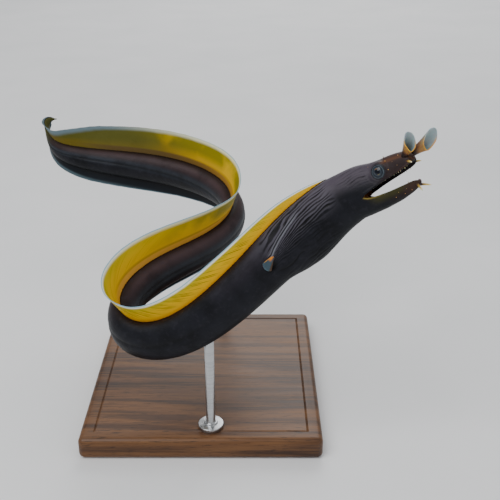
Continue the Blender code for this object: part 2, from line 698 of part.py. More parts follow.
def build_pectoral(name, spine, side, neck, parts, cutters):
    """Small fan whose rays stand out as ridges, its root sunk into a slot of the neck."""
    root, along, across, through = pectoral_frame(spine, side)
    root = root - along * SEAT_DEPTH
    columns = 2 * PECTORAL_RAYS
    lengths = [0.0] + [SEAT_DEPTH + row for row in PECTORAL_ROWS]
    rings = []
    for i in range(columns + 1):
        part = 2 * i / columns - 1
        upper = []
        lower = []
        for row, length in enumerate(lengths):
            spread_part = max(0.0, (length - SEAT_DEPTH) / PECTORAL_LENGTH)
            half_width = (PECTORAL_ROOT + (PECTORAL_SPREAD - PECTORAL_ROOT) * spread_part) / 2
            round_off = (1 - PECTORAL_EDGE_CURVE * part * part) if row == len(lengths) - 1 else 1.0
            middle = (root + along * (length * round_off)
                      + across * (part * half_width - PECTORAL_DROOP * spread_part))
            half = PECTORAL_THICKNESS / 2 * (1.0 - PECTORAL_THINNING * spread_part)
            if i % 2 == 0:
                half += PECTORAL_RELIEF
            upper.append(middle + through * half)
            lower.append(middle - through * half)
        rings.append(upper + lower[::-1])
    mesh = mesh_from(name, lambda bm: loft(bm, rings))

    def slot(bm):
        thickness = PECTORAL_THICKNESS + 2 * PECTORAL_RELIEF + 2 * GAP
        size = Matrix.Diagonal((thickness * MM, (PECTORAL_ROOT + 3 * GAP) * MM, SEAT_CUT_LENGTH * MM, 1))
        axes = Matrix([[*through], [*across], [*along]]).transposed().to_4x4()
        middle = root + along * (SEAT_CUT_LENGTH / 2 - GAP)
        bmesh.ops.create_cube(bm, size=1.0, matrix=Matrix.Translation(Vector(middle) * MM) @ axes @ size)

    cutter = add_object(name + "_slot", mesh_from(name + "_slot", slot), cutters)
    add_boolean(neck, cutter)
    return add_object(name, mesh, parts, BLUE_LEAF)


def build_base(parts):
    """Bevelled wooden plate that stands on the floor."""
    size = Matrix.Diagonal((BASE_SIZE[0] * MM, BASE_SIZE[1] * MM, BASE_SIZE[2] * MM, 1))
    lift = Matrix.Translation((0, 0, BASE_SIZE[2] / 2 * MM))
    mesh = mesh_from("stand_base", lambda bm: bmesh.ops.create_cube(bm, size=1.0, matrix=lift @ size))
    base = add_object("stand_base", mesh, parts, OILED_WALNUT)
    bevel = base.modifiers.new("eased edges", "BEVEL")
    bevel.width = BASE_CORNER * MM
    bevel.segments = 3
    return base


def build_rod(name, spine, distance, aside, parts, cutters):
    """Turned rod with a foot, its top shaped to the body that it carries."""
    point = spine.place(distance, aside, 0.0)
    height = point[2] - BASE_SIZE[2] - GAP
    outline = [(0, 0), (ROD_FOOT_RADIUS, 0), (ROD_FOOT_RADIUS, ROD_FOOT_HEIGHT * ROD_FOOT_SHOULDER),
               (ROD_FOOT_RADIUS - ROD_FOOT_CHAMFER, ROD_FOOT_HEIGHT),
               (ROD_RADIUS + ROD_FILLET[0], ROD_FOOT_HEIGHT),
               (ROD_RADIUS, ROD_FOOT_HEIGHT + ROD_FILLET[1]), (ROD_RADIUS, height), (0, height)]
    mesh = bpy.data.meshes.new(name)
    bm = bmesh.new()
    verts = [bm.verts.new((x * MM, 0, z * MM)) for x, z in reversed(outline)]
    for a, b in zip(verts, verts[1:]):
        bm.edges.new((a, b))
    bm.to_mesh(mesh)
    bm.free()
    rod = add_object(name, mesh, parts, BRUSHED_STEEL)
    rod.location = (point[0] * MM, point[1] * MM, (BASE_SIZE[2] + GAP) * MM)
    screw = rod.modifiers.new("turned", "SCREW")
    screw.steps = ROD_SIDES
    screw.render_steps = ROD_SIDES
    screw.use_merge_vertices = True
    screw.merge_threshold = 0.00001
    rings = body_rings(spine, distance - ROD_CUT_REACH, distance + ROD_CUT_REACH, GAP)
    cutter = add_object(name + "_top", mesh_from(name + "_top", lambda bm: loft(bm, rings)), cutters)
    add_boolean(rod, cutter)
    return rod


def main():
    for obj in list(bpy.data.objects):
        bpy.data.objects.remove(obj, do_unlink=True)
    parts = bpy.data.collections.new("ribbon_eel")
    cutters = bpy.data.collections.new("cutters")
    bpy.context.scene.collection.children.link(parts)
    bpy.context.scene.collection.children.link(cutters)

    spine = Spine()
    head = build_head(spine, parts, cutters)
    jaw = build_jaw(spine, parts)
    body = build_body(spine, parts)
    build_fins(spine, parts)
    for letter, side in (("R", 1), ("L", -1)):
        add_boolean(head, globe(f"eye_{letter}_socket", spine, side, GAP, cutters))
        globe(f"eye_{letter}", spine, side, 0.0, parts, EYE_GLASS)
        build_nostril(letter, spine, side, head, parts, cutters)
        build_barbel("snout_barbel", letter, spine, SNOUT_BARBEL, side, head, parts, cutters)
        build_barbel("chin_barbel", letter, spine, CHIN_BARBEL, side, jaw, parts, cutters)
        build_pectoral(f"pectoral_{letter}", spine, side, body["neck"], parts, cutters)
    build_base(parts)
    build_rod("stand_rod_front", spine, FRONT_ROD_AT, 0.0, parts, cutters)
    build_rod("stand_rod_rear", spine, REAR_ROD_AT, REAR_ROD_ASIDE, parts, cutters)


main()
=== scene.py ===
# Ribbon eel, life size, swimming on its display stand: the finishes and the fine surface.
# Settings are in millimetres and degrees, the scene is in metres, and the origin is under
# the middle of the base. A place on the eel is its distance behind the snout tip, its side
# (right is the side that the camera sees) and its height from the body's middle line.
import math

import bpy
import numpy as np
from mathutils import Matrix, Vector, noise


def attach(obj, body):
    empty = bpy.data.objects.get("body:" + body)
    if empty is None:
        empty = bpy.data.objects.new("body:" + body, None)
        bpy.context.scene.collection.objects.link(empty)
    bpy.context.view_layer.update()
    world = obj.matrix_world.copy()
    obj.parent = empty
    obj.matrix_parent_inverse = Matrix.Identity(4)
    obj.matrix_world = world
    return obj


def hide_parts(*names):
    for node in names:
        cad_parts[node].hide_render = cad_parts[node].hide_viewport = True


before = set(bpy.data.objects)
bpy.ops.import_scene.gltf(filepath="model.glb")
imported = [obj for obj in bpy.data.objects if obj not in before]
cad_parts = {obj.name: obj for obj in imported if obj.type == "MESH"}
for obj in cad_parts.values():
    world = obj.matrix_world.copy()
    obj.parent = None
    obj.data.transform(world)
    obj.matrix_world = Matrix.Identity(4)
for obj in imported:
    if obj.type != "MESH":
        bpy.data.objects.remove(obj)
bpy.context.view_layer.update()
mm = 0.001

swim = {
    "line": [  # middle of the body, snout tip to tail tip
        (96, -56, 158), (73, -49, 140), (48, -48, 117), (22, -52, 91), (-3, -53, 70), (-25, -49, 61),
        (-39, -38, 63), (-37, -21, 70), (-21, -3, 77), (2, 17, 82), (15, 40, 88), (10, 61, 95),
        (-12, 79, 100), (-42, 92, 102), (-74, 102, 103), (-98, 112, 106), (-108, 124, 112),
        (-110, 131.5, 120), (-103.5, 133, 121.5),
    ],
    "lean": [  # how far the back leans for a rise of 1, at each of those points
        (0.12, 0.33), (0.09, 0.26), (0.06, 0.18), (0.03, 0.10), (0, 0.06), (0, -0.04),
        (0, -0.12), (-0.05, -0.12), (-0.05, -0.17), (-0.05, -0.21), (-0.10, -0.22), (-0.15, -0.12),
        (-0.10, 0.02), (-0.05, 0.23), (0, 0.41), (0, 0.20), (0, 0), (-0.5, 0), (-0.5, 0),
    ],
    "crest": [(34, 10.9), (40, 11.9), (64, 12.9), (101, 12.0), (134, 11.0), (177, 10.1), (252, 9.4),
              (332, 8.8), (365, 8.3), (398, 7.2), (424, 5.2), (441, 3.3), (452, 2.1), (460, 0.9)],
    "belly": [(34, 12.9), (42, 13.3), (57, 15.2), (62, 15.6), (70, 14.8), (84, 11.8), (101, 11.5),
              (134, 10.9), (177, 10.1), (252, 9.4), (332, 8.8), (365, 8.3), (398, 7.2), (424, 5.2),
              (441, 3.3), (452, 2.1), (460, 0.9)],
    "width": [(34, 6.9), (48, 7.7), (62, 8.3), (80, 7.6), (101, 7.3), (177, 7.2), (252, 6.9),
              (332, 6.2), (365, 5.5), (398, 4.4), (424, 3.0), (441, 1.9), (452, 1.2), (460, 0.6)],
    "fullness": 0.9,  # below 1 the flanks are fuller than an ellipse
}


def toLinear(hexColour):
    parts = [int(hexColour[i:i + 2], 16) / 255 for i in (1, 3, 5)]
    return tuple(c / 12.92 if c <= 0.04045 else ((c + 0.055) / 1.055) ** 2.4 for c in parts) + (1.0,)


def naturalSpline(values, t):
    values = np.array(values, float)
    count = len(values)
    matrix = np.eye(count)
    right = np.zeros_like(values)
    for i in range(1, count - 1):
        matrix[i, i - 1:i + 2] = (1, 4, 1)
        right[i] = 6 * (values[i - 1] - 2 * values[i] + values[i + 1])
    bend = np.linalg.solve(matrix, right)
    i = np.clip(np.floor(t).astype(int), 0, count - 2)
    b = (t - i)[..., None]
    a = 1 - b
    return a * values[i] + b * values[i + 1] + ((a ** 3 - a) * bend[i] + (b ** 3 - b) * bend[i + 1]) / 6


def profile(keys, at):  # smooth between the key places, with no overshoot
    x, y = np.array(keys, float).T
    slope = np.diff(y) / np.diff(x)
    tangent = np.concatenate([slope[:1], np.zeros(len(x) - 2), slope[-1:]])
    both = slope[:-1] * slope[1:]
    total = slope[:-1] + slope[1:]
    rising = both > 0
    tangent[1:-1][rising] = 2 * both[rising] / total[rising]
    i = np.clip(np.searchsorted(x, at, side="right") - 1, 0, len(x) - 2)
    span = x[i + 1] - x[i]
    u = np.clip((at - x[i]) / span, 0, 1)
    start = (1 + 2 * u) * (1 - u) ** 2 * y[i] + u * (1 - u) ** 2 * span * tangent[i]
    return start + u * u * (3 - 2 * u) * y[i + 1] + u * u * (u - 1) * span * tangent[i + 1]


def ease(value, low, high):  # 0 below low, 1 above high, smooth between
    u = np.clip((value - low) / (high - low), 0, 1)
    return u * u * (3 - 2 * u)


def between(value, span):  # rises from 0 to 1 over the span's first two places, and falls over its last two
    return ease(value, *span[:2]) * (1 - ease(value, *span[2:]))


def bell(value, width):
    return np.exp(-(value / width) ** 2)


def unit(vectors):
    return vectors / np.maximum(np.linalg.norm(vectors, axis=-1, keepdims=True), 1e-9)


lineT = np.linspace(0, len(swim["line"]) - 1, 3401)
lineSteps = np.linalg.norm(np.diff(naturalSpline(swim["line"], lineT), axis=0), axis=1)
lineDistance = np.concatenate([[0], np.cumsum(lineSteps)])


def bodyFrame(distance):  # middle point, back, up and right at each distance
    t = np.interp(distance, lineDistance, lineT)
    here = naturalSpline(swim["line"], t)
    back = unit(naturalSpline(swim["line"], t + 0.01) - naturalSpline(swim["line"], t - 0.01))
    here = here + back * np.minimum(distance, 0)[..., None]
    up = np.concatenate([naturalSpline(swim["lean"], t), np.ones(np.shape(t) + (1,))], axis=-1)
    up = unit(up - (up * back).sum(-1, keepdims=True) * back)
    return here, back, up, np.cross(up, back)


def place(distance, side, height):
    here, _, up, right = bodyFrame(np.asarray(distance, float))
    return here + right * np.asarray(side)[..., None] + up * np.asarray(height)[..., None]


def speckle(points, size, seed=0.0):  # smooth noise, about -1 to 1, with features of that size in mm
    flat = np.asarray(points, float).reshape(-1, 3) / size + seed
    values = [noise.noise(Vector(p)) for p in flat]
    return np.array(values).reshape(np.shape(points)[:-1])


def editMode(selection="SELECT"):
    bpy.ops.object.mode_set(mode="EDIT")
    bpy.ops.mesh.select_all(action=selection)


def objectMode():
    bpy.ops.object.mode_set(mode="OBJECT")


def deselectAll():
    if bpy.context.object and bpy.context.object.mode != "OBJECT":
        objectMode()
    bpy.ops.object.select_all(action="DESELECT")


def useOnly(piece):
    deselectAll()
    piece.select_set(True)
    bpy.context.view_layer.objects.active = piece


def wrapGrid(name, points, notes):
    # a flat grid of len(points) rows, whose points are then laid in place, in mm, each with its notes
    rows, columns = points.shape[:2]
    deselectAll()
    bpy.ops.mesh.primitive_grid_add(x_subdivisions=columns - 1, y_subdivisions=rows - 1, size=2)
    piece = bpy.context.object
    piece.name = name
    flat = np.empty(len(piece.data.vertices) * 3)
    piece.data.vertices.foreach_get("co", flat)
    flat = flat.reshape(-1, 3)
    column = np.rint((flat[:, 0] + 1) / 2 * (columns - 1)).astype(int)
    row = np.rint((flat[:, 1] + 1) / 2 * (rows - 1)).astype(int)
    piece.data.vertices.foreach_set("co", (points[row, column] * mm).ravel())
    for label, values in notes.items():
        attribute = piece.data.attributes.new(label, "FLOAT", "POINT")
        values = np.broadcast_to(values, (rows, columns))[row, column]
        attribute.data.foreach_set("value", values.astype(np.float32))
    piece.data.update()
    return piece


def thinSheet(name, middle, half, notes):
    # a sheet with two faces: up its right face, down its left one and back to the start
    def ringed(right, left):
        return np.concatenate([right, left[:, ::-1], right[:, :1]], axis=1)

    spread = {label: np.broadcast_to(values, middle.shape[:2]) for label, values in notes.items()}
    return wrapGrid(name, ringed(middle + half, middle - half), {k: ringed(v, v) for k, v in spread.items()})


def joined(pieces):
    useOnly(pieces[0])
    for piece in pieces:
        piece.select_set(True)
    bpy.ops.object.join()
    return pieces[0]


def closeUp(piece, gap=0.001):
    # merges the seams, drops slivers and turns every face outwards
    useOnly(piece)
    editMode()
    bpy.ops.mesh.remove_doubles(threshold=gap * mm)
    bpy.ops.mesh.dissolve_degenerate(threshold=0.0005 * mm)
    bpy.ops.mesh.normals_make_consistent(inside=False)
    objectMode()
    bpy.ops.object.shade_smooth()
    return piece


class Finish:
    # a Principled material and the layers that paint it. Where a layer takes factors, each is a number,
    # a socket, or (value, low, high), which goes smoothly from 0 to 1 as the value goes from low to high.
    def __init__(self, name, notes="", **settings):
        self.material = bpy.data.materials.new(name)
        self.material.use_nodes = True
        self.tree = self.material.node_tree
        self.shader = self.tree.nodes["Principled BSDF"]
        for socket, value in settings.items():
            self.shader.inputs[socket.replace("_", " ")].default_value = value
        self.place = self.node("TexCoord", output="Object")
        self.notes = [self.node("Attribute", output="Fac", attribute_name=label) for label in notes.split()]
        self.base = None

    def node(self, kind, links=(), output=0, stops=(), **settings):
        # adds one node with its settings and links, given by socket or in order, and returns an output
        made = self.tree.nodes.new("ShaderNode" + kind)
        for name, value in settings.items():
            setattr(made, name, value)
        for socket, source in links.items() if isinstance(links, dict) else enumerate(links):
            if isinstance(source, bpy.types.NodeSocket):
                self.tree.links.new(source, made.inputs[socket])
            else:
                made.inputs[socket].default_value = source
        for i, (position, hexColour) in enumerate(stops):
            elements = made.color_ramp.elements
            stop = elements[i] if i < 2 else elements.new(position)
            stop.position = position
            stop.color = toLinear(hexColour)
        return made.outputs[output]

    def times(self, *factors):
        product = None
        for factor in factors:
            if isinstance(factor, tuple):
                factor = self.node("MapRange", factor, interpolation_type="SMOOTHSTEP")
            if product is None:
                product = factor
            else:
                product = self.node("Math", (product, factor), operation="MULTIPLY")
        return product

    def layer(self, under, over, *factors):  # from the colour under it to the colour over it
        under, over = (toLinear(c) if isinstance(c, str) else c for c in (under, over))
        return self.node("Mix", {0: self.times(*factors), 6: under, 7: over}, output=2, data_type="RGBA")

    def tint(self, colour, *factors):  # turns the base colour towards another
        self.base = self.layer(self.base, colour, *factors)

    def done(self, **sockets):
        for socket, source in {"Base Color": self.base, **sockets}.items():
            self.tree.links.new(source, self.shader.inputs[socket])
        return self.material


def dress(piece, material, slot, *nodes):
    piece.data.materials.clear()
    piece.data.materials.append(material)
    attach(piece, "root")
    if nodes:
        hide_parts(*nodes)
    return piece


# Camera: the photograph's height and angle, seen in a square frame.
camera = {"place": (25, -388, 268), "tiltDown": 25, "lens": 57.6}


def addObject(name, data, at):
    made = bpy.data.objects.new(name, data)
    bpy.context.scene.collection.objects.link(made)
    made.location = Vector(at) * mm
    return made


def setCamera():
    data = bpy.data.cameras.new("camera")
    data.lens = camera["lens"]
    data.sensor_width = 36
    data.clip_start = 0.01
    viewer = addObject("camera", data, camera["place"])
    viewer.rotation_euler = (math.radians(90 - camera["tiltDown"]), 0, 0)
    bpy.context.scene.camera = viewer
    print("camera set")


# The skin: one surface from the snout over both jaws to the tail tip.
skin = {
    "headCrest": [(0, 1.0), (0.6, 2.4), (1.6, 3.4), (3, 4.2), (6, 5.0), (10, 5.7), (14, 6.1), (18, 6.8),
                  (22, 8.2), (26, 9.5), (34, 10.9)],
    "headLip": [(0, -1.5), (0.6, -2.1), (3, -2.8), (10, -3.6), (18, -4.1), (28, -5.0), (34, -5.3)],
    "headWidth": [(0, 1.8), (0.6, 2.8), (1.6, 3.4), (3, 3.7), (10, 4.1), (18, 5.0), (26, 6.2), (34, 6.9)],
    "headWaist": [(0, 0.8), (18, 0.9), (34, 5.3)],  # the widest place lies this far above the lip
    "headTuck": [(0, 2.5), (18, 3.0), (34, 7.6)],  # and the curve would close this far below it
    "jawStart": 1.5,
    "jawTop": [(1.5, -10.9), (2.5, -10.3), (4, -10.0), (8, -9.8), (14, -9.4), (20, -8.5), (24, -7.5),
               (28, -5.8), (29.5, -5.45), (34, -5.6)],
    "jawUnder": [(1.5, -11.9), (2.5, -12.7), (4, -13.3), (8, -14.2), (14, -14.8), (20, -14.7),
                 (28, -13.9), (34, -12.9)],
    "jawWidth": [(1.5, 1.1), (2.5, 2.0), (4, 2.6), (8, 3.1), (14, 3.8), (20, 4.8), (28, 6.2), (34, 6.9)],
    "jawWaist": [(1.5, 0.2), (20, 0.6), (28, 2.0), (34, 5.6)],  # as headWaist, for the lower jaw
    "headEnd": 34,  # the body's own outline takes over here
    "corner": 28.4,  # the mouth's corner
    "cornerEase": 2.2,
    "lipAngle": 115,  # behind the head, the seam between the upper and lower skin
    "lipSwell": 0.28,
    "lipSwellRise": (0.86, 0.97),
    "palate": [(0, 0.2), (3, 1.6), (10, 2.3), (20, 2.2), (28, 2.6), (34, 3.0)],
    "floor": [(1.5, 0.1), (3, 1.0), (10, 1.9), (20, 2.4), (28, 2.6), (34, 3.0)],
    "lipThick": 0.8,
    "throatEnd": 44,
    "cheekInset": (0.5, 1.4, 2.6),  # how far the lining steps in at the corner, then behind it, and over what
    "oliveEnds": (21, 28),  # where the jaw's olive and its pale painted lip highlight fade
    "paintedLipHighlightEnds": (27.0, 28.4),
    "domeLength": 0.5,
    "upperColumns": 90,  # from the back's middle to the lip, on each side
    "lowerColumns": 36,
    "liningColumns": 14,
    "end": 459.8,
}

eye = {
    "at": (16.0, 0.9, 3.3),  # distance, height and side
    "radius": 3.25,
    "halfDepth": 2.0,
    "rimRadius": 3.06,
    "rimThick": 0.34,
    "rimOut": 4.24,
    "swellRadius": 5.4,  # the skin swells from here to the rim
    "behindOut": 3.4,  # and lies at this level behind the eyeball
    "cornea": (0.22, 1.7),  # height and radius of its bulge
    "oval": (1.3, 0.08),  # the pupil is taller than wide, and the rings round it less so
    "rimSink": 0.06,
}

folds = {
    "from": 12, "to": 112,  # the folds lie between these distances
    "gill": (81.0, 14.3),  # the gill opening: distance, and arc from the middle of the back
    "opening": 0.8,  # its depth
    "squeeze": 0.72,  # how far the folds draw together at the gill opening
    "reach": 9.0,  # arc over which they do
    "flank": 0.26,  # depth of the furrow along the flank
    "spacing": 1.6,
    # each kind's depth, and where it starts and ends along the body and round it
    "nape": (0.42, (37, 45, 66, 82), (1.6, 4.2, 12.5, 18)),
    "cover": (0.20, (42, 54, 81, 87), (11, 16, 31, 38)),
    "fine": (0.05, (34, 50, 88, 112), (-2, -1, 98, 99)),  # all the way round
    "cheek": (0.45, (20, 23, 30, 38), (2.5, 4.5, 9, 14)),
    "ridge": [(57, 8.6), (59, 8.2), (65, 7.4), (71, 6.3), (76, 4.9), (79, 3.7)],  # gill cover's edge: height
    "ridgeSpan": (55, 61, 79, 81),
    "ridgeRise": 0.42,
    "ridgeWidth": 0.36,
    "ridgeStep": 0.22,  # how far the skin behind the edge lies lower
    "secondLine": 1.25,  # the fainter line beside it
    # the clouds that bend, break and roughen the folds: stretch along the body, size and seed
    "drift": (0.4, 3.2, 0.0), "patches": (0.35, 2.6, 7.0), "small": (0.5, 1.1, 3.0),
}


def stations():
    # ring places, closer together on the head, and in the domes that close the ends
    places = [np.arange(0, 30, 0.45), np.arange(30, 96, 0.7), np.arange(96, 450, 2.1),
              np.arange(450, skin["end"], 0.7), [skin["end"]]]
    return np.concatenate(places)


def sectionHalf(part, keys):
    # side and height round half a section; part runs 0 to 1 from its far edge to the lip
    centre, reach, under, width, lip = keys
    last = np.arccos(np.clip((lip - centre) / under, -1, 1))
    angle = last * part
    rise = np.cos(angle)
    side = np.abs(np.sin(angle)) ** swim["fullness"] * width
    return side, centre + rise * np.where(rise > 0, reach, under)


def tipRounding(distance):
    return np.sqrt(1 - 0.94 * ease(distance, 453, skin["end"]))


def lipMouth(distance):
    # 1 where the mouth is open, falling to 0 at its corner and behind
    return 1 - ease(distance, skin["corner"] - skin["cornerEase"], skin["corner"])


def skinOutline(distance, upper, part):
    d = distance[:, None]
    crest, belly, width = (profile(swim[key], d) for key in ("crest", "belly", "width"))
    bodyLip = belly * math.cos(math.radians(skin["lipAngle"]))
    onHead = d < skin["headEnd"]
    if upper:
        lip = np.where(onHead, profile(skin["headLip"], d), bodyLip)
        centre = np.where(onHead, lip + profile(skin["headWaist"], d), 0)
        reach = np.where(onHead, profile(skin["headCrest"], d), crest) - centre
        under = np.where(onHead, centre - lip + profile(skin["headTuck"], d), belly)
        width = np.where(onHead, profile(skin["headWidth"], d), width)
        side, height = sectionHalf(part, (centre, reach, under, width, lip))
    else:
        lip = np.where(onHead, profile(skin["jawTop"], d), bodyLip)
        centre = np.where(onHead, lip + profile(skin["jawWaist"], d), 0)
        under = np.where(onHead, centre - profile(skin["jawUnder"], d), belly)
        above = np.where(onHead, under, crest)
        width = np.where(onHead, profile(skin["jawWidth"], d), width)
        side, height = sectionHalf(part, (-centre, under, above, width, -lip))
        height = -height
    side, height = side * tipRounding(d), height * tipRounding(d)
    swell = skin["lipSwell"] * lipMouth(d) * ease(part, *skin["lipSwellRise"]) * ease(d, 0.5, 3)
    return side + swell, height


def meetLips(distance, *halves):
    # behind the mouth's corner the upper and lower skins share one edge
    shut = (1 - lipMouth(distance))[:, None]
    for k in (0, 1):
        middle = (halves[0][k][:, -1:] + halves[1][k][:, -1:]) / 2
        for half in halves:
            near = np.linspace(0, 1, half[k].shape[1])[None, :] ** 4
            half[k] += (middle - half[k][:, -1:]) * shut * near


def outwards(side, height, amount):
    # moves a section's points out along its own normal
    alongSide = np.gradient(side, axis=1)
    alongHeight = np.gradient(height, axis=1)
    length = np.maximum(np.hypot(alongSide, alongHeight), 1e-6)
    outSide, outHeight = -alongHeight / length, alongSide / length
    flip = np.where((outSide * side).sum(1, keepdims=True) < 0, -1, 1)
    return side + outSide * flip * amount, height + outHeight * flip * amount


def eyeSocket(distance, side, height):
    # the skin swells to the eye's rim, and inside it lies level behind the eyeball
    s, h, _ = eye["at"]
    r = np.hypot(distance[:, None] - s, height - h)
    level = eye["rimOut"] - 0.02
    swollen = side + (level - side) * (1 - ease(r, eye["rimRadius"] + 0.4, eye["swellRadius"]))
    inside = 1 - ease(r, eye["rimRadius"] - 0.5, eye["rimRadius"] - 0.05)
    return swollen + (eye["behindOut"] - swollen) * inside


def flowLevel(distance, arc):
    # lines of equal level run along the neck and draw together at the gill opening
    gillAt, gillArc = folds["gill"]
    pull = between(distance, (40, gillAt + 1, gillAt + 3, gillAt + 30))
    beside = arc - gillArc
    return beside / (1 - folds["squeeze"] * pull * bell(beside, folds["reach"]))


def foldArea(name, distance, arc):
    depth, along, across = folds[name]
    return depth * between(distance, along) * between(arc, across)


def gillRidge(distance, arc, height):
    # the gill cover's edge: where it is, how far round from it each point lies, and its two lines
    ridgeHeight = np.interp(distance, *np.array(folds["ridge"]).T)
    ridgeArc = [np.interp(-h, -heights, arcs) for h, heights, arcs in zip(ridgeHeight, height, arc)]
    beside = arc - np.array(ridgeArc)[:, None]
    first = bell(beside, folds["ridgeWidth"])
    second = bell(beside + folds["secondLine"], 0.8 * folds["ridgeWidth"])
    return between(distance, folds["ridgeSpan"])[:, None], beside, first, second


def foldDepth(distance, arc, height):
    # folds of loose skin on the nape, finer ones on the gill cover and throat, furrows behind the eye
    # and, on the upper half, whose heights are given, the gill cover's edge
    d = distance[:, None] + 0 * arc
    near = (d > folds["from"]) & (d < folds["to"])
    spot = np.stack([d, arc, 0 * d], axis=-1)[near]

    def cloudy(stretch, size, seed):
        values = np.zeros_like(d)
        values[near] = speckle(spot * (stretch, 1, 1), size, seed)
        return values

    drift, patches, small = (cloudy(*folds[key]) for key in ("drift", "patches", "small"))
    phase = flowLevel(d, arc) / folds["spacing"] * math.pi + drift * 2.6 + small * 0.3
    groove = (1 - np.abs(np.sin(phase))) ** 1.5
    strength = 0.35 + 0.9 * np.clip(patches + 0.35, 0, 1)
    depth = -groove * strength * sum(foldArea(name, d, arc) for name in ("nape", "cover", "fine"))
    slant = (arc * 0.85 - (d - 20) * 0.22) / 1.35 * math.pi + drift * 2.4 + small * 0.5
    furrow = (1 - np.abs(np.sin(slant))) ** 2 * np.clip(patches + 0.5, 0.1, 1.2)
    depth -= furrow * foldArea("cheek", d, arc)
    step = pale = 0.0
    if height is not None:
        where, beside, first, second = gillRidge(distance, arc, height)
        hollow = bell(beside + folds["secondLine"] / 2, 0.4)
        depth = depth * (1 - 0.85 * where * bell(beside, 1.6))
        depth += folds["ridgeRise"] * where * (first + 0.6 * second - 0.5 * hollow)
        step = folds["ridgeStep"] * between(-beside, (1.4, 2.6, 3.5, 6)) * where
        pale = where * np.maximum(first, 0.7 * second) * (0.55 + 0.45 * np.clip(patches + 0.6, 0, 1))
    gillAt, gillArc = folds["gill"]
    depth -= folds["opening"] * bell(d - gillAt - 1.5, 2.0) * bell(arc - gillArc - 1.6, 1.3)
    return depth - step, np.minimum(depth, 0), pale


def flankFurrow(distance, around):
    # the soft furrow along the middle of each flank
    onBody = between(distance, (96, 140, 430, 450))[:, None]
    return -folds["flank"] * bell(around - 0.5, 0.045) * onBody


def arcLength(side, height):
    steps = np.hypot(np.diff(side, axis=1), np.diff(height, axis=1))
    return np.concatenate([np.zeros((len(side), 1)), np.cumsum(steps, axis=1)], axis=1)


def domed(distance, side, height, top):
    # shrinks the first ring to a point ahead of it, as a rounded end
    turns = np.radians([88, 72, 54, 36, 18])
    small = np.cos(turns)[:, None]
    side = np.concatenate([0 * side[:1], side[:1] * small, side])
    height = np.concatenate([0 * height[:1] + top, top + (height[:1] - top) * small, height])
    ahead = skin["domeLength"] * np.concatenate([[1], np.sin(turns)])
    return np.concatenate([distance[0] - ahead, distance]), side, height


def bothSides(values, sign=1):
    # half a section from the middle to the lip, made whole: left lip, middle, right lip
    return np.concatenate([sign * values[:, :0:-1], values], axis=1)


def skinSheet(name, distance, side, height, notes):
    # one grid of the skin, with notes that tell its colours where they are
    plain = dict.fromkeys(("behind", "arc", "lining", "jaw", "lip", "crease", "pale", "around"), 0.0)
    points = place(distance[:, None] + 0 * side, side, height)
    return wrapGrid(name, points, {**plain, "behind": distance[:, None], **notes})


def foldedHalves(distance):
    # side and height of the upper and the lower half sections with all their folds, and their notes
    opening = lipMouth(distance)
    parts = [np.linspace(0, 1, skin[key] + 1)[None, :] for key in ("upperColumns", "lowerColumns")]
    halves = [list(skinOutline(distance, *half)) for half in zip((True, False), parts)]
    meetLips(distance, *halves)
    lips = [[values[:, -1].copy() for values in half] for half in halves]
    arcs = [arcLength(*half) for half in halves]
    whole = arcs[0][:, -1:] + arcs[1][:, -1:]
    arcs[1] = whole - arcs[1]
    notes = []
    for k, (heights, lipCalm) in enumerate(((halves[0][1], 0.93), (None, 0.9))):
        fold, crease, pale = foldDepth(distance, arcs[k], heights)
        amount = fold + flankFurrow(distance, arcs[k] / whole)
        if k == 0:
            amount[:, -1] *= 1 - opening
        amount = amount * (1 - ease(parts[k], lipCalm, 1) * opening[:, None])
        halves[k] = list(outwards(*halves[k], amount))
        notes.append({"arc": arcs[k], "crease": crease, "pale": pale + 0 * crease, "around": arcs[k] / whole})
    meetLips(distance, *halves)
    halves[0][0][:, 0] = halves[1][0][:, 0] = 0
    nearEye = (distance < eye["at"][0] + 8)[:, None]
    halves[0][0] = np.where(nearEye, eyeSocket(distance, *halves[0]), halves[0][0])
    wide = opening > 0.999
    for half, lip in zip(halves, lips):  # where the mouth is open the lips keep their own line
        for values, edge in zip(half, lip):
            values[wide, -1] = edge[wide]
    return halves, notes


def liningHalf(edge, lip, depth, thick, sign, part):
    # from the lip's edge under the lip and up the palate to its middle, or down the jaw's floor
    inner = np.maximum(edge - thick, 0.2 * edge)
    rounding = np.clip(part / 0.22, 0, 1)
    turn = np.clip((part - 0.22) / 0.78, 0, 1) * math.pi / 2
    side = np.where(part < 0.22, edge + (inner - edge) * rounding, inner * np.cos(turn))
    lipDrop = 0.14 * thick / skin["lipThick"] * np.sin(rounding * math.pi)
    return side, lip - sign * lipDrop + sign * depth * np.sin(turn) ** 0.75


def outerSheet(upper, distance, half, notes):
    on = distance >= (0 if upper else skin["jawStart"])
    side, height = (values[on] for values in half)
    d, side, height = domed(distance[on], bothSides(side, -1), bothSides(height), height[0, -1])
    ringsAhead = len(d) - on.sum()
    notes = {label: bothSides(values[on]) for label, values in notes.items()}
    notes = {label: np.concatenate([np.repeat(v[:1], ringsAhead, axis=0), v]) for label, v in notes.items()}
    if not upper:
        edge = np.abs(np.linspace(-1, 1, side.shape[1]))
        notes["jaw"] = ease(edge, 0.5, 1.0) * (1 - ease(d, *skin["oliveEnds"]))[:, None]
        # the pale painted highlight along the lower lip
        notes["lip"] = ease(edge, 0.92, 0.985) * (1 - ease(d, *skin["paintedLipHighlightEnds"]))[:, None]
    return skinSheet("skin" if upper else "underSkin", d, side, height, notes)


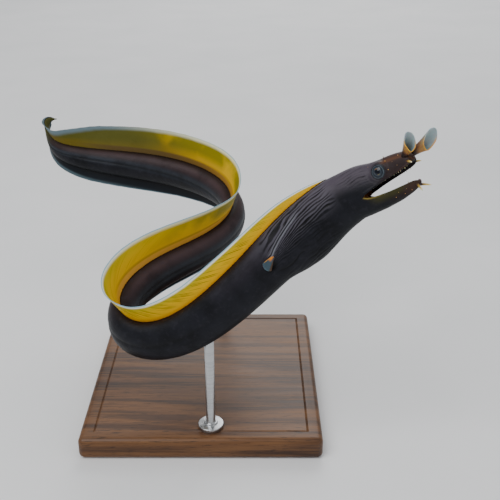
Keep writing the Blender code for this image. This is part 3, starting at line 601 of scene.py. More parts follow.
def liningSheet(upper, distance, half):
    # the inside of one jaw, from lip to lip, which narrows to a closed throat
    start = 0 if upper else skin["jawStart"]
    inMouth = (distance >= start) & (distance <= skin["throatEnd"])
    at, edge, lip = distance[inMouth], half[0][inMouth, -1], half[1][inMouth, -1]
    corner = skin["corner"]
    first, rest, over = skin["cheekInset"]
    cheek = (at > corner) * first + rest * ease(at, corner, corner + over)
    shrink = 1 - ease(at, corner + 3, skin["throatEnd"]) * 0.97
    edge = (edge - cheek) * shrink
    depth = profile(skin["palate" if upper else "floor"], at) * shrink
    thick = skin["lipThick"] * lipMouth(at) * np.minimum(1, edge / 3)
    part = np.linspace(0, 1, skin["liningColumns"] + 1)[None, :]
    edge, lip, depth, thick = (values[:, None] for values in (edge, lip, depth, thick))
    side, height = liningHalf(edge, lip, depth, thick, 1 if upper else -1, part)
    height = np.where(part == 0, lip, height)
    side = np.concatenate([-side, side[:, -2::-1]], axis=1)
    height = np.concatenate([height, height[:, -2::-1]], axis=1)
    d, side, height = domed(at, side, height, lip[0, 0])
    lining = np.ones_like(side)
    lining[:, [0, -1]] = 0  # the edge is the lip's own
    notes = {"arc": 14.0, "lining": lining, "around": 0.55 if upper else 0.65}
    if not upper:
        notes["jaw"] = (1 - ease(d, *skin["oliveEnds"]))[:, None]
        # the painted lip highlight reaches the lining's edge too
        notes["lip"] = (1 - ease(d, *skin["paintedLipHighlightEnds"]))[:, None]
    return skinSheet("lining", d, side, height, notes)


def makeSkin():
    distance = stations()
    halves, notes = foldedHalves(distance)
    sheets = [outerSheet(k == 0, distance, halves[k], notes[k]) for k in (0, 1)]
    sheets += [liningSheet(k == 0, distance, halves[k]) for k in (0, 1)]
    body = closeUp(joined(sheets), gap=0.004)
    editMode("DESELECT")
    bpy.ops.mesh.select_non_manifold()
    bpy.ops.mesh.fill_holes(sides=0)
    bpy.ops.mesh.select_all(action="SELECT")
    bpy.ops.mesh.normals_make_consistent(inside=False)
    objectMode()
    print("skin", len(body.data.polygons), "faces")
    return body


def wetSkin():
    # scaleless, slimed eel skin: near black with a purple-grey bloom on the back, partly its own tint and
    # partly a painted sheen, browner on the snout and olive on the jaw, and loose folds with painted shade in
    # their creases and painted highlights along their crests
    f = Finish("wet eel skin", "behind arc around crease lining jaw lip pale", Roughness=0.42, IOR=1.4,
               Specular_IOR_Level=0.22)
    behind, arc, around, crease, lining, jaw, lip, pale = f.notes
    cloud = f.node("TexNoise", {"Vector": f.place, "Scale": 90, "Detail": 5})
    mottle = f.node("TexNoise", {"Vector": f.place, "Scale": 480, "Detail": 6})
    back = f.times((around, 0.5, 0.1))
    f.base = f.node("ValToRGB", (cloud,), stops=((0.34, "#0b0c11"), (0.66, "#181920")))
    # the back's purple-grey: partly the skin's own tint, partly a painted sheen from the light above
    f.tint("#302b33", 0.85, back, (cloud, 0.25, 0.55), (behind, 125, 85))
    f.tint("#4b3a3b", 0.9, back, (cloud, 0.0, 0.6), (behind, 168, 205))
    f.tint("#2d323a", 0.75, (around, 0.3, 0.42), (around, 0.62, 0.5), (behind, 165, 195), (cloud, 0.1, 0.6))
    # crown, its purple-grey partly own tint and partly a painted sheen, then the snout, the snout's bridge
    # and the stripe beside it
    f.tint("#4d4650", 0.85, (arc, 15, 5), (behind, 9, 20), (behind, 62, 38))
    f.tint("#281a19", 0.9, (behind, 21, 9))
    f.tint("#43302c", 0.85, (arc, 7.0, 3.0), (behind, 15.5, 10))
    f.tint("#5e3d28", 0.65, (arc, 2.6, 3.6), (arc, 5.4, 4.2), (behind, 14.5, 12))
    # the fin's foot and the belly
    f.tint("#20150e", 0.85, (arc, 5.6, 1.2), (behind, 44, 90))
    f.tint("#131a17", 0.5, (around, 0.72, 1.0))
    # olive jaw, its brown front and a pale painted highlight along its lip
    f.tint("#37351a", jaw, (cloud, 0.25, 0.5))
    f.tint("#3a2822", 0.85, (behind, 12, 5), (around, 0.98, 0.86), (around, 0.6, 0.62))
    # pale painted highlight along the lower lip
    f.tint("#887531", 0.85, lip, (behind, 16, 27))
    # painted shade in the flank's furrow, fine mottling, painted shade in the folds' creases and painted
    # highlights on their crests, and the gill cover's edge
    # painted shade along the flank's furrow
    f.tint("#07080b", 0.6, (behind, 96, 150), (around, 0.43, 0.5), (around, 0.57, 0.5))
    f.tint("#34323c", 0.22, (mottle, 0.5, 0.75))
    # painted shade: the folds' creases darkened
    f.tint("#030304", 0.85, (crease, -0.03, -0.25))
    # painted highlight: the folds' crests lightened
    f.tint("#54515b", 0.7, (crease, -0.05, -0.005), (behind, 36, 44), (behind, 88, 70), (arc, 20, 10))
    f.tint("#7b7d84", 0.8, pale)
    f.tint("#44451a", 0.85, (behind, 430, 450))
    f.tint(f.layer("#120a09", "#7a480e", 0.9, (behind, 24.5, 28)), lining)
    # long wrinkles, the muscles' chevrons and a fine grain
    wrinkleAt = f.node("CombineXYZ", (f.times(behind, 0.3), f.times(arc, 1.2)))
    wrinkles = f.node("TexNoise", {"Vector": wrinkleAt, "Scale": 1.0, "Detail": 3})
    normal = f.node("Bump", {"Height": wrinkles, "Distance": 0.3 * mm, "Strength": 0.35})
    fromFlank = f.node("Math", (around, 0.5), operation="SUBTRACT")
    bands = f.node("Math", (f.times(fromFlank, fromFlank, 60.0), behind), operation="ADD")
    muscle = f.node("Math", (f.times(bands, math.tau / 3.4),), operation="SINE")
    chevrons = f.times(muscle, (behind, 96, 140), (cloud, 0.35, 0.6))
    normal = f.node("Bump", {"Height": chevrons, "Distance": 0.04 * mm, "Strength": 0.35, "Normal": normal})
    grain = f.node("TexNoise", {"Vector": f.place, "Scale": 2600, "Detail": 3})
    normal = f.node("Bump", {"Height": grain, "Distance": 0.05 * mm, "Strength": 0.5, "Normal": normal})
    roughness = f.node("MapRange", (mottle, 0, 1, 0.36, 0.54))
    return f.done(Roughness=roughness, Normal=normal)


# Fins: ribbons whose rays stand out of a thin web.
finWeb = {
    "raySweep": 2.0,  # how far a ray leans back for a rise of 1
    "raySpacing": 1.4, "forking": (0.45, 0.75),  # the rays fork over this part of their height
    "ridgeEnds": (0.88, 1.0), "scallop": 0.002, "edgeWave": 0.22,
    "footDepth": 0.8, "edgeThick": 0.3, "thinning": (425, 455),
    "closing": 446,  # from here both fins close round the tail tip
}
dorsal = {
    "name": "dorsalFin", "start": 38.2, "end": 457.6, "sign": 1,
    "height": [(38, 0.5), (50, 3.2), (64, 5.5), (101, 8.7), (134, 10.4), (158, 12.0), (177, 13.7),
               (196, 15.0), (252, 15.6), (303, 16.5), (332, 16.6), (365, 16.3), (398, 15.0),
               (424, 10.0), (436, 6.0), (447, 2.8), (454, 1.6), (460, 1.0)],
    # degrees that the fin leans to the right
    "flare": [(0, 0), (64, 0), (101, 3), (134, 12), (158, 24), (177, 31), (196, 26), (221, 9),
              (252, -9), (279, -25), (303, -25), (332, -15), (365, -5), (398, 3), (460, 5)],
    "perRay": 8, "rows": 14, "rootThick": 1.1, "rayRelief": 0.045, "flutter": 0.35,
}
anal = {
    "name": "analFin", "start": 188.4, "end": 457.6, "sign": -1,
    "height": [(188, 0.7), (206, 3.0), (221, 3.6), (252, 4.3), (303, 5.5), (365, 6.5), (398, 6.4),
               (424, 5.0), (436, 3.6), (447, 2.0), (460, 1.0)],
    "flare": [(0, 0), (460, 0)],
    "perRay": 6, "rows": 7, "rootThick": 1.0, "rayRelief": 0.03, "flutter": 0.15,
}


def makeFin(fin):
    count = round((fin["end"] - fin["start"]) / finWeb["raySpacing"]) * fin["perRay"]
    base = np.linspace(fin["start"], fin["end"], count + 1)
    tall = np.zeros_like(base)
    for _ in range(40):  # a ray reaches the edge behind its own foot
        tall += (profile(fin["height"], base + finWeb["raySweep"] * tall) - tall) * 0.5
    phase = (base - fin["start"]) / finWeb["raySpacing"]
    scallop = np.cos(phase * math.tau)
    edgeWave = speckle(np.stack([base / 9, 0 * base, 0 * base], -1), 1.0)
    vary = 0.4 + 0.6 * np.abs(np.sin(2.4 * np.round(phase)))  # no two rays stand out alike
    wave = finWeb["edgeWave"] * np.abs(edgeWave) * ease(tall, 2, 6)
    tall = tall * (1 - finWeb["scallop"] * vary * (1 - scallop)) - wave
    tall = tall * np.sqrt(1 - 0.99 * ease(base, finWeb["closing"], fin["end"]))
    tall, phase, vary, b = (values[:, None] for values in (tall, phase, vary, base))
    part = np.linspace(0, 1, fin["rows"] + 1) ** 0.9
    height = -finWeb["footDepth"] + (tall + finWeb["footDepth"]) * part
    risen = np.maximum(height, 0) / np.maximum(tall, 0.1)
    distance = np.minimum(b + finWeb["raySweep"] * np.maximum(height, 0), lineDistance[-1])
    here, _, up, right = bodyFrame(distance)
    sign = fin["sign"]
    root = profile(swim["crest" if sign > 0 else "belly"], distance) * tipRounding(distance)
    lean = np.radians(profile(fin["flare"], distance))
    rise = up * (sign * np.cos(lean))[..., None] + right * np.sin(lean)[..., None]
    across = right * np.cos(lean)[..., None] - up * (sign * np.sin(lean))[..., None]
    flutter = speckle(np.stack([distance / 14, height / 12, 0 * height], -1), 1.0, 3.0)
    flutter = flutter * fin["flutter"] * ease(risen, 0.1, 0.9)
    # the rays fork near the edge, and their ridges end just short of it
    ridge, forked = ((vary * (1 + np.cos(phase * turns)) / 2) ** 1.5 for turns in (math.tau, 2 * math.tau))
    fork = ease(risen, *finWeb["forking"])
    relief = fin["rayRelief"] * (ridge * (1 - fork) + forked * fork * 0.7)
    relief = relief * (1 - ease(risen, *finWeb["ridgeEnds"]))
    thick = fin["rootThick"] + (finWeb["edgeThick"] - fin["rootThick"]) * part
    ends = between(b, (fin["start"] - 0.01, fin["start"] + 2, fin["end"] - 2, fin["end"] + 0.01))
    half = (thick * (1 - 0.4 * ease(b, *finWeb["thinning"])) / 2 + relief) * ends
    middle = here + up * (sign * root)[..., None] + rise * height[..., None] + across * flutter[..., None]
    notes = {"risen": risen, "rise": height, "foot": b, "topGap": tall - height, "ray": phase}
    piece = closeUp(thinSheet(fin["name"], middle, across * half[..., None], notes), gap=0.002)
    print(fin["name"], len(piece.data.polygons), "faces")
    return piece


def betweenRays(f, ray, sharpness):
    # 1 on the web between two rays, 0 on the rays
    wave = f.node("Math", (f.times(ray, math.tau),), operation="COSINE")
    return f.times((wave, sharpness, -0.6))


def yellowFinWeb():
    # living fin web: bright yellow, olive where it thins between the rays, with a milk-white hem
    f = Finish("yellow fin web", "risen rise foot topGap ray", Roughness=0.5, IOR=1.4,
               Specular_IOR_Level=0.15)
    risen, rise, foot, topGap, ray = f.notes
    patch = f.node("TexNoise", {"Vector": f.place, "Scale": 45, "Detail": 3})
    whichRay = f.node("Math", (ray,), operation="FLOOR")
    streakAt = f.node("CombineXYZ", (f.times(whichRay, 1.3), f.times(risen, 1.1)))
    streak = f.node("TexNoise", {"Vector": streakAt, "Scale": 1.0, "Detail": 3})
    f.base = f.node("ValToRGB", (risen,), stops=((0.0, "#b97600"), (0.08, "#c68c00"), (0.22, "#d2a200"),
                                                 (0.6, "#cfa700"), (0.95, "#c4aa00")))
    # olive streaks between the rays, then the pale outer part of the front
    web = f.times(betweenRays(f, ray, 0.3), (risen, 0.15, 0.45), (risen, 1.0, 0.75))
    f.tint("#39480c", 0.9, web, (streak, 0.44, 0.60), (foot, 54, 80), (foot, 178, 150))
    f.tint("#7d6e00", 0.35, web, (streak, 0.40, 0.62), (foot, 230, 190))
    f.tint("#a49c18", 0.4, (risen, 0.5, 0.8), (foot, 44, 60), (foot, 200, 170))
    # olive rear half, the tan band along its foot with a line above it, and the tail's end
    f.tint("#66660e", 0.8, (foot, 195, 235), (risen, 0.15, 0.6), (patch, 0.32, 0.56))
    f.tint(f.layer("#373a14", "#45461a", (patch, 0.35, 0.62)), 0.9, (foot, 290, 360))
    f.tint(f.layer("#bd8a36", "#4e3b20", (foot, 235, 330)), 0.8, (rise, 4.0, 2.6), (foot, 172, 192))
    f.tint("#5e5210", 0.85, (foot, 380, 412), (risen, 0.7, 0.35))
    f.tint("#80600a", 0.55, (rise, 2.8, 3.5), (rise, 4.8, 3.8), (foot, 172, 192), (foot, 330, 280))
    f.tint("#4a4b18", 0.8, (foot, 425, 452))
    # milky hem with a blue line on its edge, and the uneven dark foot
    milk = f.layer("#e8ebdc", "#e3dfb4", (foot, 150, 200))
    milk = f.layer(milk, "#5f7077", (foot, 270, 370))
    f.tint(milk, (topGap, f.node("MapRange", (foot, 60, 210, 1.5, 2.9)), 0.9))
    f.tint("#6d9db6", 0.85, (topGap, 0.7, 0.25), (foot, 330, 250))
    unevenAt = f.node("CombineXYZ", (f.times(ray, 1.1), f.times(rise, 0.4)))
    uneven = f.node("TexNoise", {"Vector": unevenAt, "Scale": 1.6, "Detail": 4})
    f.tint("#1a1009", 0.95,
           (f.node("Math", (rise, f.times(uneven, 0.8)), operation="SUBTRACT"), 0.12, -0.12))
    grainAt = f.node("CombineXYZ", (f.times(ray, 4.0), f.times(risen, 3.0)))
    grain = f.node("TexNoise", {"Vector": grainAt, "Scale": 1.5, "Detail": 4})
    normal = f.node("Bump", {"Height": grain, "Distance": 0.1 * mm, "Strength": 0.3})
    return f.done(Normal=normal)


def darkFinWeb():
    # black fin web with a pale blue hem
    f = Finish("black fin web", "risen topGap ray foot", Roughness=0.45, IOR=1.4, Specular_IOR_Level=0.22)
    risen, topGap, ray, foot = f.notes
    f.base = f.node("ValToRGB", (risen,), stops=((0.0, "#0c0d11"), (0.9, "#131a22")))
    f.tint("#07080b", 0.35, betweenRays(f, ray, 0.4))
    f.tint("#6f8b99", 0.8, (topGap, 0.9, 0.3))
    f.tint("#46585f", (topGap, 2.3, 0.9), (foot, 330, 425))
    f.tint("#44451a", 0.7, (foot, 428, 450), (topGap, 0.6, 1.2))
    return f.done()


# Nostrils: a golden tube that flares to a leaf, open ahead.
nostrils = {
    "at": (2.2, 2.0, 2.7),  # distance, height and side; the leaf's measures are (ahead, up, out)
    "Right": {"side": 1, "node": "nostril_R", "middle": (5.5, 2.9, 4.1), "tall": (2.7, 8.9, -0.5),
              "wide": (-2.5, 1.4, 7.6)},
    "Left": {"side": -1, "node": "nostril_L", "middle": (10.7, 2.5, 2.4), "tall": (6.8, 8.2, -0.7),
             "wide": (2.9, -0.5, 8.7)},
    "tubeRadius": 1.45, "sink": 2.0, "flare": 1.7, "wall": 0.32, "floor": 0.28,
    "leafSize": 0.975, "ruffle": (0.016, 0.004),
    "around": 128, "rows": 36,
}


def headAxes(distance):
    _, back, up, right = bodyFrame(np.array([distance]))
    return -back[0], up[0], right[0]


def makeNostril(which):
    shape = nostrils[which]
    ahead, up, right = headAxes(nostrils["at"][0])
    middle, tall, wide = (ahead * a + up * b + right * (c * shape["side"])
                          for a, b, c in (shape["middle"], shape["tall"], shape["wide"]))
    axis = unit(middle)
    s, h, out = nostrils["at"]
    root = place([s], [shape["side"] * out], [h])[0] - axis * nostrils["sink"]
    reach = middle + axis * nostrils["sink"]
    front = unit(tall.dot(axis) * axis - tall)
    across = np.cross(axis, front)
    across *= 1 if across.dot(wide) > 0 else -1

    def wall(angle, part):  # the tube's round section turns into the leaf's as it flares
        flare = np.maximum(part, 0)[..., None] ** nostrils["flare"]
        c, n = np.cos(angle)[..., None], np.sin(angle)[..., None]
        big, little = nostrils["ruffle"]
        ruffle = big * np.sin(5 * angle + 1) + little * np.sin(11 * angle) - big - little
        ruffle = nostrils["leafSize"] * (1 + ruffle[..., None] * flare ** 2)
        narrow = (front * c + across * n) * nostrils["tubeRadius"]
        mouth = (-tall / 2 * c + wide / 2 * n * (1 - 0.3 * np.maximum(c, 0) ** 2)) * ruffle
        return root + reach * part[..., None] + narrow * (1 - flare) + mouth * flare

    def normals(part, turned, small=0.01):
        roundIt = wall(turned + small, part) - wall(turned - small, part)
        alongIt = wall(turned, part + small) - wall(turned, part - small)
        normal = unit(np.cross(roundIt, alongIt))
        outside = ((wall(turned, part) - root - reach * part[..., None]) * normal).sum(-1, keepdims=True)
        return np.where(outside < 0, -normal, normal)

    angle = np.linspace(0, math.tau, nostrils["around"] + 1)[None, :]
    outer = np.linspace(0, 1, nostrils["rows"] + 1)[:, None] + 0 * angle
    inner = np.linspace(1, nostrils["floor"], nostrils["rows"])[:, None] + 0 * angle
    outside = wall(angle + 0 * outer, outer)
    innerAngle = angle + 0 * inner
    inside = wall(innerAngle, inner) - normals(inner, innerAngle) * nostrils["wall"]
    lip = (outside[-1:] + inside[:1]) / 2 + axis * 0.04
    floor = inside[-1:] * 0 + inside[-1, :-1].mean(axis=0)
    points = np.concatenate([outside[:1] * 0 + root, outside, lip, inside, floor])
    parts = np.concatenate([outer[:1], outer, outer[-1:], inner, inner[-1:]])
    within = (np.arange(len(parts)) > len(outer) + 1)[:, None]
    front, aside = (1 + np.cos(angle)) / 2, (1 + np.sin(angle)) / 2
    notes = {"part": parts, "within": within, "front": front, "aside": aside}
    return closeUp(wrapGrid("nostril" + which, points, notes))


def leafFlesh():
    # golden flesh that thins to a milky blue-grey leaf, finely lined, with a gold line along its low rim
    f = Finish("nostril leaf flesh", "part within front aside", Roughness=0.4, IOR=1.4,
               Specular_IOR_Level=0.35, Subsurface_Weight=0.25, Subsurface_Scale=0.9 * mm)
    part, within, front, aside = f.notes
    f.base = f.node("ValToRGB", (part,), stops=((0.22, "#1d1012"), (0.4, "#39231c"), (0.6, "#6d4c34"),
                                                (0.8, "#8d6f4c"), (0.95, "#96855f")))
    f.tint("#a87a38", 0.75, (front, 0.35, 0.9), (part, 0.4, 0.75))
    f.tint("#66777c", 0.85, (front, 0.45, 0.1), (part, 0.55, 0.85))
    inside = f.node("ValToRGB", (part,),
                    stops=((0.3, "#675e50"), (0.5, "#79807b"), (0.68, "#839396"), (0.95, "#97aaad")))
    f.tint(inside, within)
    linesAt = f.node("CombineXYZ", (f.times(front, 9.0), f.times(aside, 9.0), f.times(part, 3.0)))
    lines = f.node("TexNoise", {"Vector": linesAt, "Scale": 2.2, "Detail": 5})
    f.tint("#a3b3b5", (lines, 0.46, 0.7), f.node("MapRange", (within, 0, 1, 0.05, 0.2)))
    f.tint("#3b4241", 0.12, (lines, 0.48, 0.3))
    f.tint("#a4bac0", (part, 0.965, 0.995))
    f.tint("#e0a53a", (front, 0.3, 0.7), (part, 0.9, 0.985))
    normal = f.node("Bump", {"Height": lines, "Distance": 0.04 * mm, "Strength": 0.25})
    return f.done(Normal=normal)


# Feelers: barbels, papillae and teeth are tapering rods, a little curved.
feelers = {
    "barbels": {  # root, root radius, tip radius, reach of each side (ahead, up, out)
        "snoutBarbel": ((2.1, -1.6, 3.4), 0.75, 0.3, {"R": (1.9, -1.3, 1.2), "L": (3.4, -0.8, 1.0)},
                        "snout_barbel"),
        "chinBarbel": ((3.0, -12.1, 1.6), 0.8, 0.28, {"R": (1.8, -3.9, 2.4), "L": (4.0, -2.0, 2.4)},
                       "chin_barbel"),
    },
    "sink": 1.2,
    "papillae": [  # distance and height on the snout, radius, how far it stands out
        (11.5, 3.5, 0.4, 0.55), (12.0, 5.5, 0.28, 0.95), (11.5, -0.6, 0.34, 0.35), (5.3, 3.1, 0.38, 0.4),
        (7.1, -0.7, 0.2, 0.2), (8.6, 1.8, 0.18, 0.15), (19.5, 5.2, 0.18, 0.15),
    ],
    "jawPapillae": [
        (6.2, -13.0, 0.28, 0.25), (9.7, -13.2, 0.28, 0.25), (14.2, -12.8, 0.28, 0.2), (8.0, -11.6, 0.2, 0.15),
        (12.0, -11.4, 0.2, 0.15),
    ],
    "chinNub": (2.1, -10.6, 1.0, 0.7),  # the bump on the chin's tip, in the same order
    "teeth": ((3.2, 21.5), (0.55, 1.0, 0.35, 0.85, 0.72, 0.4, 0.62, 0.3, 0.42, 0.26, 0.3, 0.22, 0.26, 0.2,
                            0.22, 0.2, 0.2)),  # first and last place, and each one's size
    "lowerTeeth": ((4.2, 14.0), (0.25,) * 7),
    "fang": (1, 1.05, 0.4),  # the lower tooth that stands up near the chin: which one, size and radius
    "toothRadius": 0.22, "toothHeight": 0.95, "toothInset": 0.42, "toothRoot": 0.5,
}


def spokes(first, second, angle):
    return first * np.cos(angle)[..., None] + second * np.sin(angle)[..., None]


def feeler(name, root, tip, thick, thin, droop=(0, 0, 0), around=14, rows=12, cap=0.14):
    # a tapering rod from root to tip, rounded over the last part of its length
    axis = unit(tip - root)
    first = unit(np.cross(axis, (0.2, 0.9, 0.3)))
    second = np.cross(axis, first)
    part = np.linspace(0, 1, rows + 1)[:, None]
    angle = np.linspace(0, math.tau, around + 1)[None, :]
    radius = thick + (thin - thick) * part ** 0.8
    radius = radius * np.sqrt(np.clip(1 - np.maximum(0, (part - 1 + cap) / cap) ** 2, 0, 1))
    radius[0] = 0
    middle = root + (tip - root) * part[..., None] + np.array(droop) * (part * (1 - part) * 4)[..., None]
    points = middle + spokes(first, second, angle) * radius[..., None]
    return closeUp(wrapGrid(name, points, {"part": part}))


def makeFeelers(material):
    for name, (root, thick, thin, reaches, node) in feelers["barbels"].items():
        for letter, which, side in (("R", "Right", 1), ("L", "Left", -1)):
            reach = reaches[letter]
            ahead, up, right = headAxes(root[0])
            start = place([root[0]], [side * root[2]], [root[1]])[0]
            direction = ahead * reach[0] + up * reach[1] + right * (side * reach[2])
            foot = start - unit(direction) * feelers["sink"]
            piece = feeler(name + which, foot, start + direction, thick, thin, up * 0.25)
            dress(piece, material, "gold_flesh", f"{node}_{letter}")


def surfacePoint(distance, height, side, upper):
    # where the skin has that height, and the direction out of it
    columns = 200
    sides, heights = skinOutline(np.array([distance]), upper, np.linspace(0, 1, columns)[None, :])
    sides, heights = side * sides[0], heights[0]
    i = int(np.argmin(np.abs(heights - height)))
    before, after = max(i - 2, 0), min(i + 2, columns - 1)
    ahead, up, right = headAxes(distance)
    run = right * (sides[after] - sides[before]) + up * (heights[after] - heights[before])
    normal = unit(np.cross(run, ahead))
    out = right * sides[i] + up * (heights[i] + (3 if upper else 12))
    return place([distance], [sides[i]], [heights[i]])[0], normal * (1 if normal.dot(out) > 0 else -1)


def makePapillae():
    made = []
    for upper, key in ((True, "papillae"), (False, "jawPapillae")):
        for distance, height, radius, tall in feelers[key]:
            for side in (1, -1):
                point, normal = surfacePoint(distance, height, side, upper)
                tip = point + (normal + headAxes(distance)[0] * 0.3) * tall
                made.append(feeler("papillae", point - normal * 0.5, tip, radius, radius * 0.55,
                                   around=12, rows=10, cap=0.35))
    return joined(made)


def makeChinNub():
    distance, height, radius, tall = feelers["chinNub"]
    middle = place([distance], [0.0], [height])[0]
    ahead, up, _ = headAxes(distance)
    return feeler("chinNub", middle - up * 0.6, middle + up * tall + ahead * 0.4, radius, radius * 0.7,
                  around=24, rows=16, cap=0.6)


def chinFlesh():
    # greyish pink flesh on the tip of the lower jaw
    f = Finish("grey pink chin flesh", Roughness=0.4, IOR=1.4, Specular_IOR_Level=0.3)
    cloud = f.node("TexNoise", {"Vector": f.place, "Scale": 900, "Detail": 4})
    f.base = f.layer("#3c2f30", "#66565a", (cloud, 0.35, 0.65))
    return f.done()


def makeTeeth():
    made = []
    for upper in (True, False):
        (start, end), sizes = feelers["teeth" if upper else "lowerTeeth"]
        sign = -1 if upper else 1
        for i, size in enumerate(sizes):
            distance = start + (end - start) * i / (len(sizes) - 1)
            (edge,), (height,) = (v[0] for v in skinOutline(np.array([distance]), upper, np.array([[1.0]])))
            thick = feelers["toothRadius"] * size + 0.06
            if not upper and i == feelers["fang"][0]:
                _, size, thick = feelers["fang"]
            ahead, up, _ = headAxes(distance)
            for side in (1, -1):
                inset = side * (edge - feelers["toothInset"])
                rootHeight = height - sign * feelers["toothRoot"]
                root, lip = (place([distance], [inset], [h])[0] for h in (rootHeight, height))
                tip = lip + (up * sign - ahead * 0.35) * feelers["toothHeight"] * size
                made.append(feeler("teeth", root, tip, thick, 0.05, ahead * 0.12, around=8, rows=6))
    return joined(made)


def paleFlesh():
    # pale golden skin of the barbels, brown at the foot and milky at the tip
    f = Finish("pale golden flesh", "part", Roughness=0.35, IOR=1.4, Subsurface_Weight=0.3,
               Subsurface_Scale=0.7 * mm, Coat_Weight=0.25, Coat_Roughness=0.18)
    part, = f.notes
    spots = f.node("TexNoise", {"Vector": f.place, "Scale": 1100, "Detail": 4})
    f.base = f.node("ValToRGB", (part,),
                    stops=((0.3, "#3f2a1c"), (0.46, "#9c7a33"), (0.75, "#d3b95f"), (1.0, "#f0e8c8")))
    f.tint("#8a6236", 0.3, (spots, 0.52, 0.7))
    normal = f.node("Bump", {"Height": spots, "Distance": 0.05 * mm, "Strength": 0.4})
    return f.done(Normal=normal)


def orangeFlesh():
    # small fleshy pimples, orange against the snout
    f = Finish("orange papilla flesh", "part", Roughness=0.38, IOR=1.4, Subsurface_Weight=0.25,
               Subsurface_Scale=0.5 * mm)
    part, = f.notes
    f.base = f.node("ValToRGB", (part,), stops=((0.45, "#4a2f1e"), (0.72, "#9a6a34"), (1.0, "#c9a061")))
    return f.done()


def toothEnamel():
    # glassy pale enamel, yellower at the root
    f = Finish("tooth enamel", "part", Roughness=0.16, IOR=1.6, Subsurface_Weight=0.2,
               Subsurface_Scale=0.4 * mm)
    part, = f.notes
    f.base = f.node("ValToRGB", (part,), stops=((0.3, "#7d7448"), (0.7, "#b8b083"), (1.0, "#d9d5b8")))
    return f.done()


def makeEye(which, side, node, glassMaterial, rimMaterial):
    s, h, out = eye["at"]
    ahead, up, right = headAxes(s)
    centre = place([s], [side * out], [h])[0]

    def turned(radius, lift, angle):  # rings about the eye's own axis
        return centre + right * side * lift[..., None] + spokes(ahead, up, angle) * radius[..., None]

    turn = np.linspace(0, math.pi, 49)[:, None]
    angle = np.linspace(0, math.tau, 73)[None, :]
    radius = eye["radius"] * np.sin(turn)
    lift = eye["halfDepth"] * np.cos(turn)
    bulge, reach = eye["cornea"]
    lift = lift + bulge * bell(radius, reach) * (turn < 1.5)
    oval = eye["oval"][0] - eye["oval"][1] * radius
    notes = {"fromMiddle": np.hypot(radius * np.cos(angle) * oval, radius * np.sin(angle)),
             "upward": radius * np.sin(angle)}
    ball = closeUp(wrapGrid("eye" + which, turned(radius, lift, angle), notes))
    dress(ball, glassMaterial, "eye", node)
    angle = np.linspace(0, math.tau, 97)[None, :]
    tube = np.linspace(0, math.tau, 17)[:, None]
    radius = eye["rimRadius"] + eye["rimThick"] * np.cos(tube)
    lift = eye["rimOut"] - eye["rimSink"] - out + eye["rimThick"] * 0.7 * np.sin(tube)
    rim = closeUp(wrapGrid("eyeRim" + which, turned(radius, lift, angle), {"ringTurn": tube}))
    dress(rim, rimMaterial, "blue_leaf")


def eyeGlass():
    # wet cornea over a ringed blue-grey iris and a navy pupil, taller than wide, with painted gold glints
    # above and below it
    f = Finish("wet eye", "fromMiddle upward", Roughness=0.25, IOR=1.4, Specular_IOR_Level=0.2,
               Coat_Weight=0.3, Coat_Roughness=0.04)
    middle, lift = f.notes
    fleck = f.node("TexNoise", {"Vector": f.place, "Scale": 1800, "Detail": 5})
    wobble = f.node("Math", (f.times(fleck, 0.1), middle), operation="ADD")
    f.base = f.node("ValToRGB", (f.times(wobble, 1 / 3.4),),
                    stops=((0.0, "#010206"), (0.35, "#03071a"), (0.385, "#161d26"), (0.47, "#232b34"),
                           (0.57, "#39434c"), (0.63, "#161d26"), (0.76, "#1d252e"), (0.84, "#525d66"),
                           (0.885, "#14191e"), (0.93, "#07080a")))
    # painted gold glints above and below the pupil
    paintedGlint = f.times((middle, 1.05, 1.2), (middle, 1.65, 1.45))
    f.tint("#8a6030", 0.85, paintedGlint, (lift, 1.1, 1.25))
    f.tint("#77704d", 0.7, paintedGlint, (lift, -1.15, -1.3))
    f.tint("#3d4956", 0.3, (fleck, 0.5, 0.75), (middle, 1.3, 1.6))
    return f.done()


def rimFlesh():
    # dark ring of skin that holds the eye, pale along its inner edge
    f = Finish("eye rim flesh", "ringTurn", Roughness=0.35, IOR=1.4, Specular_IOR_Level=0.35)
    ringTurn, = f.notes
    cloud = f.node("TexNoise", {"Vector": f.place, "Scale": 700, "Detail": 4})
    f.base = f.node("ValToRGB", (cloud,), stops=((0.35, "#17181c"), (0.65, "#292c32")))
    f.tint("#52606b", 0.85, (f.node("Math", (ringTurn,), operation="COSINE"), -0.35, -0.85))
    return f.done()


# Pectoral fans: one small fan behind each gill opening.
pectoral = {
    "at": (79.6, 3.0), "length": 6.5, "root": 1.9, "spread": 6.4, "thick": 0.34, "tilt": 36.0,
    "droop": 0.7, "rays": 11, "perRay": 8, "rows": 20, "sink": 1.4, "rayRelief": 0.014,
    "fleshy": 0.5,  # how much thicker the root is
    "cornerCut": 0.24, "scallop": 0.05, "cup": 0.35, "thinning": 0.45,
}


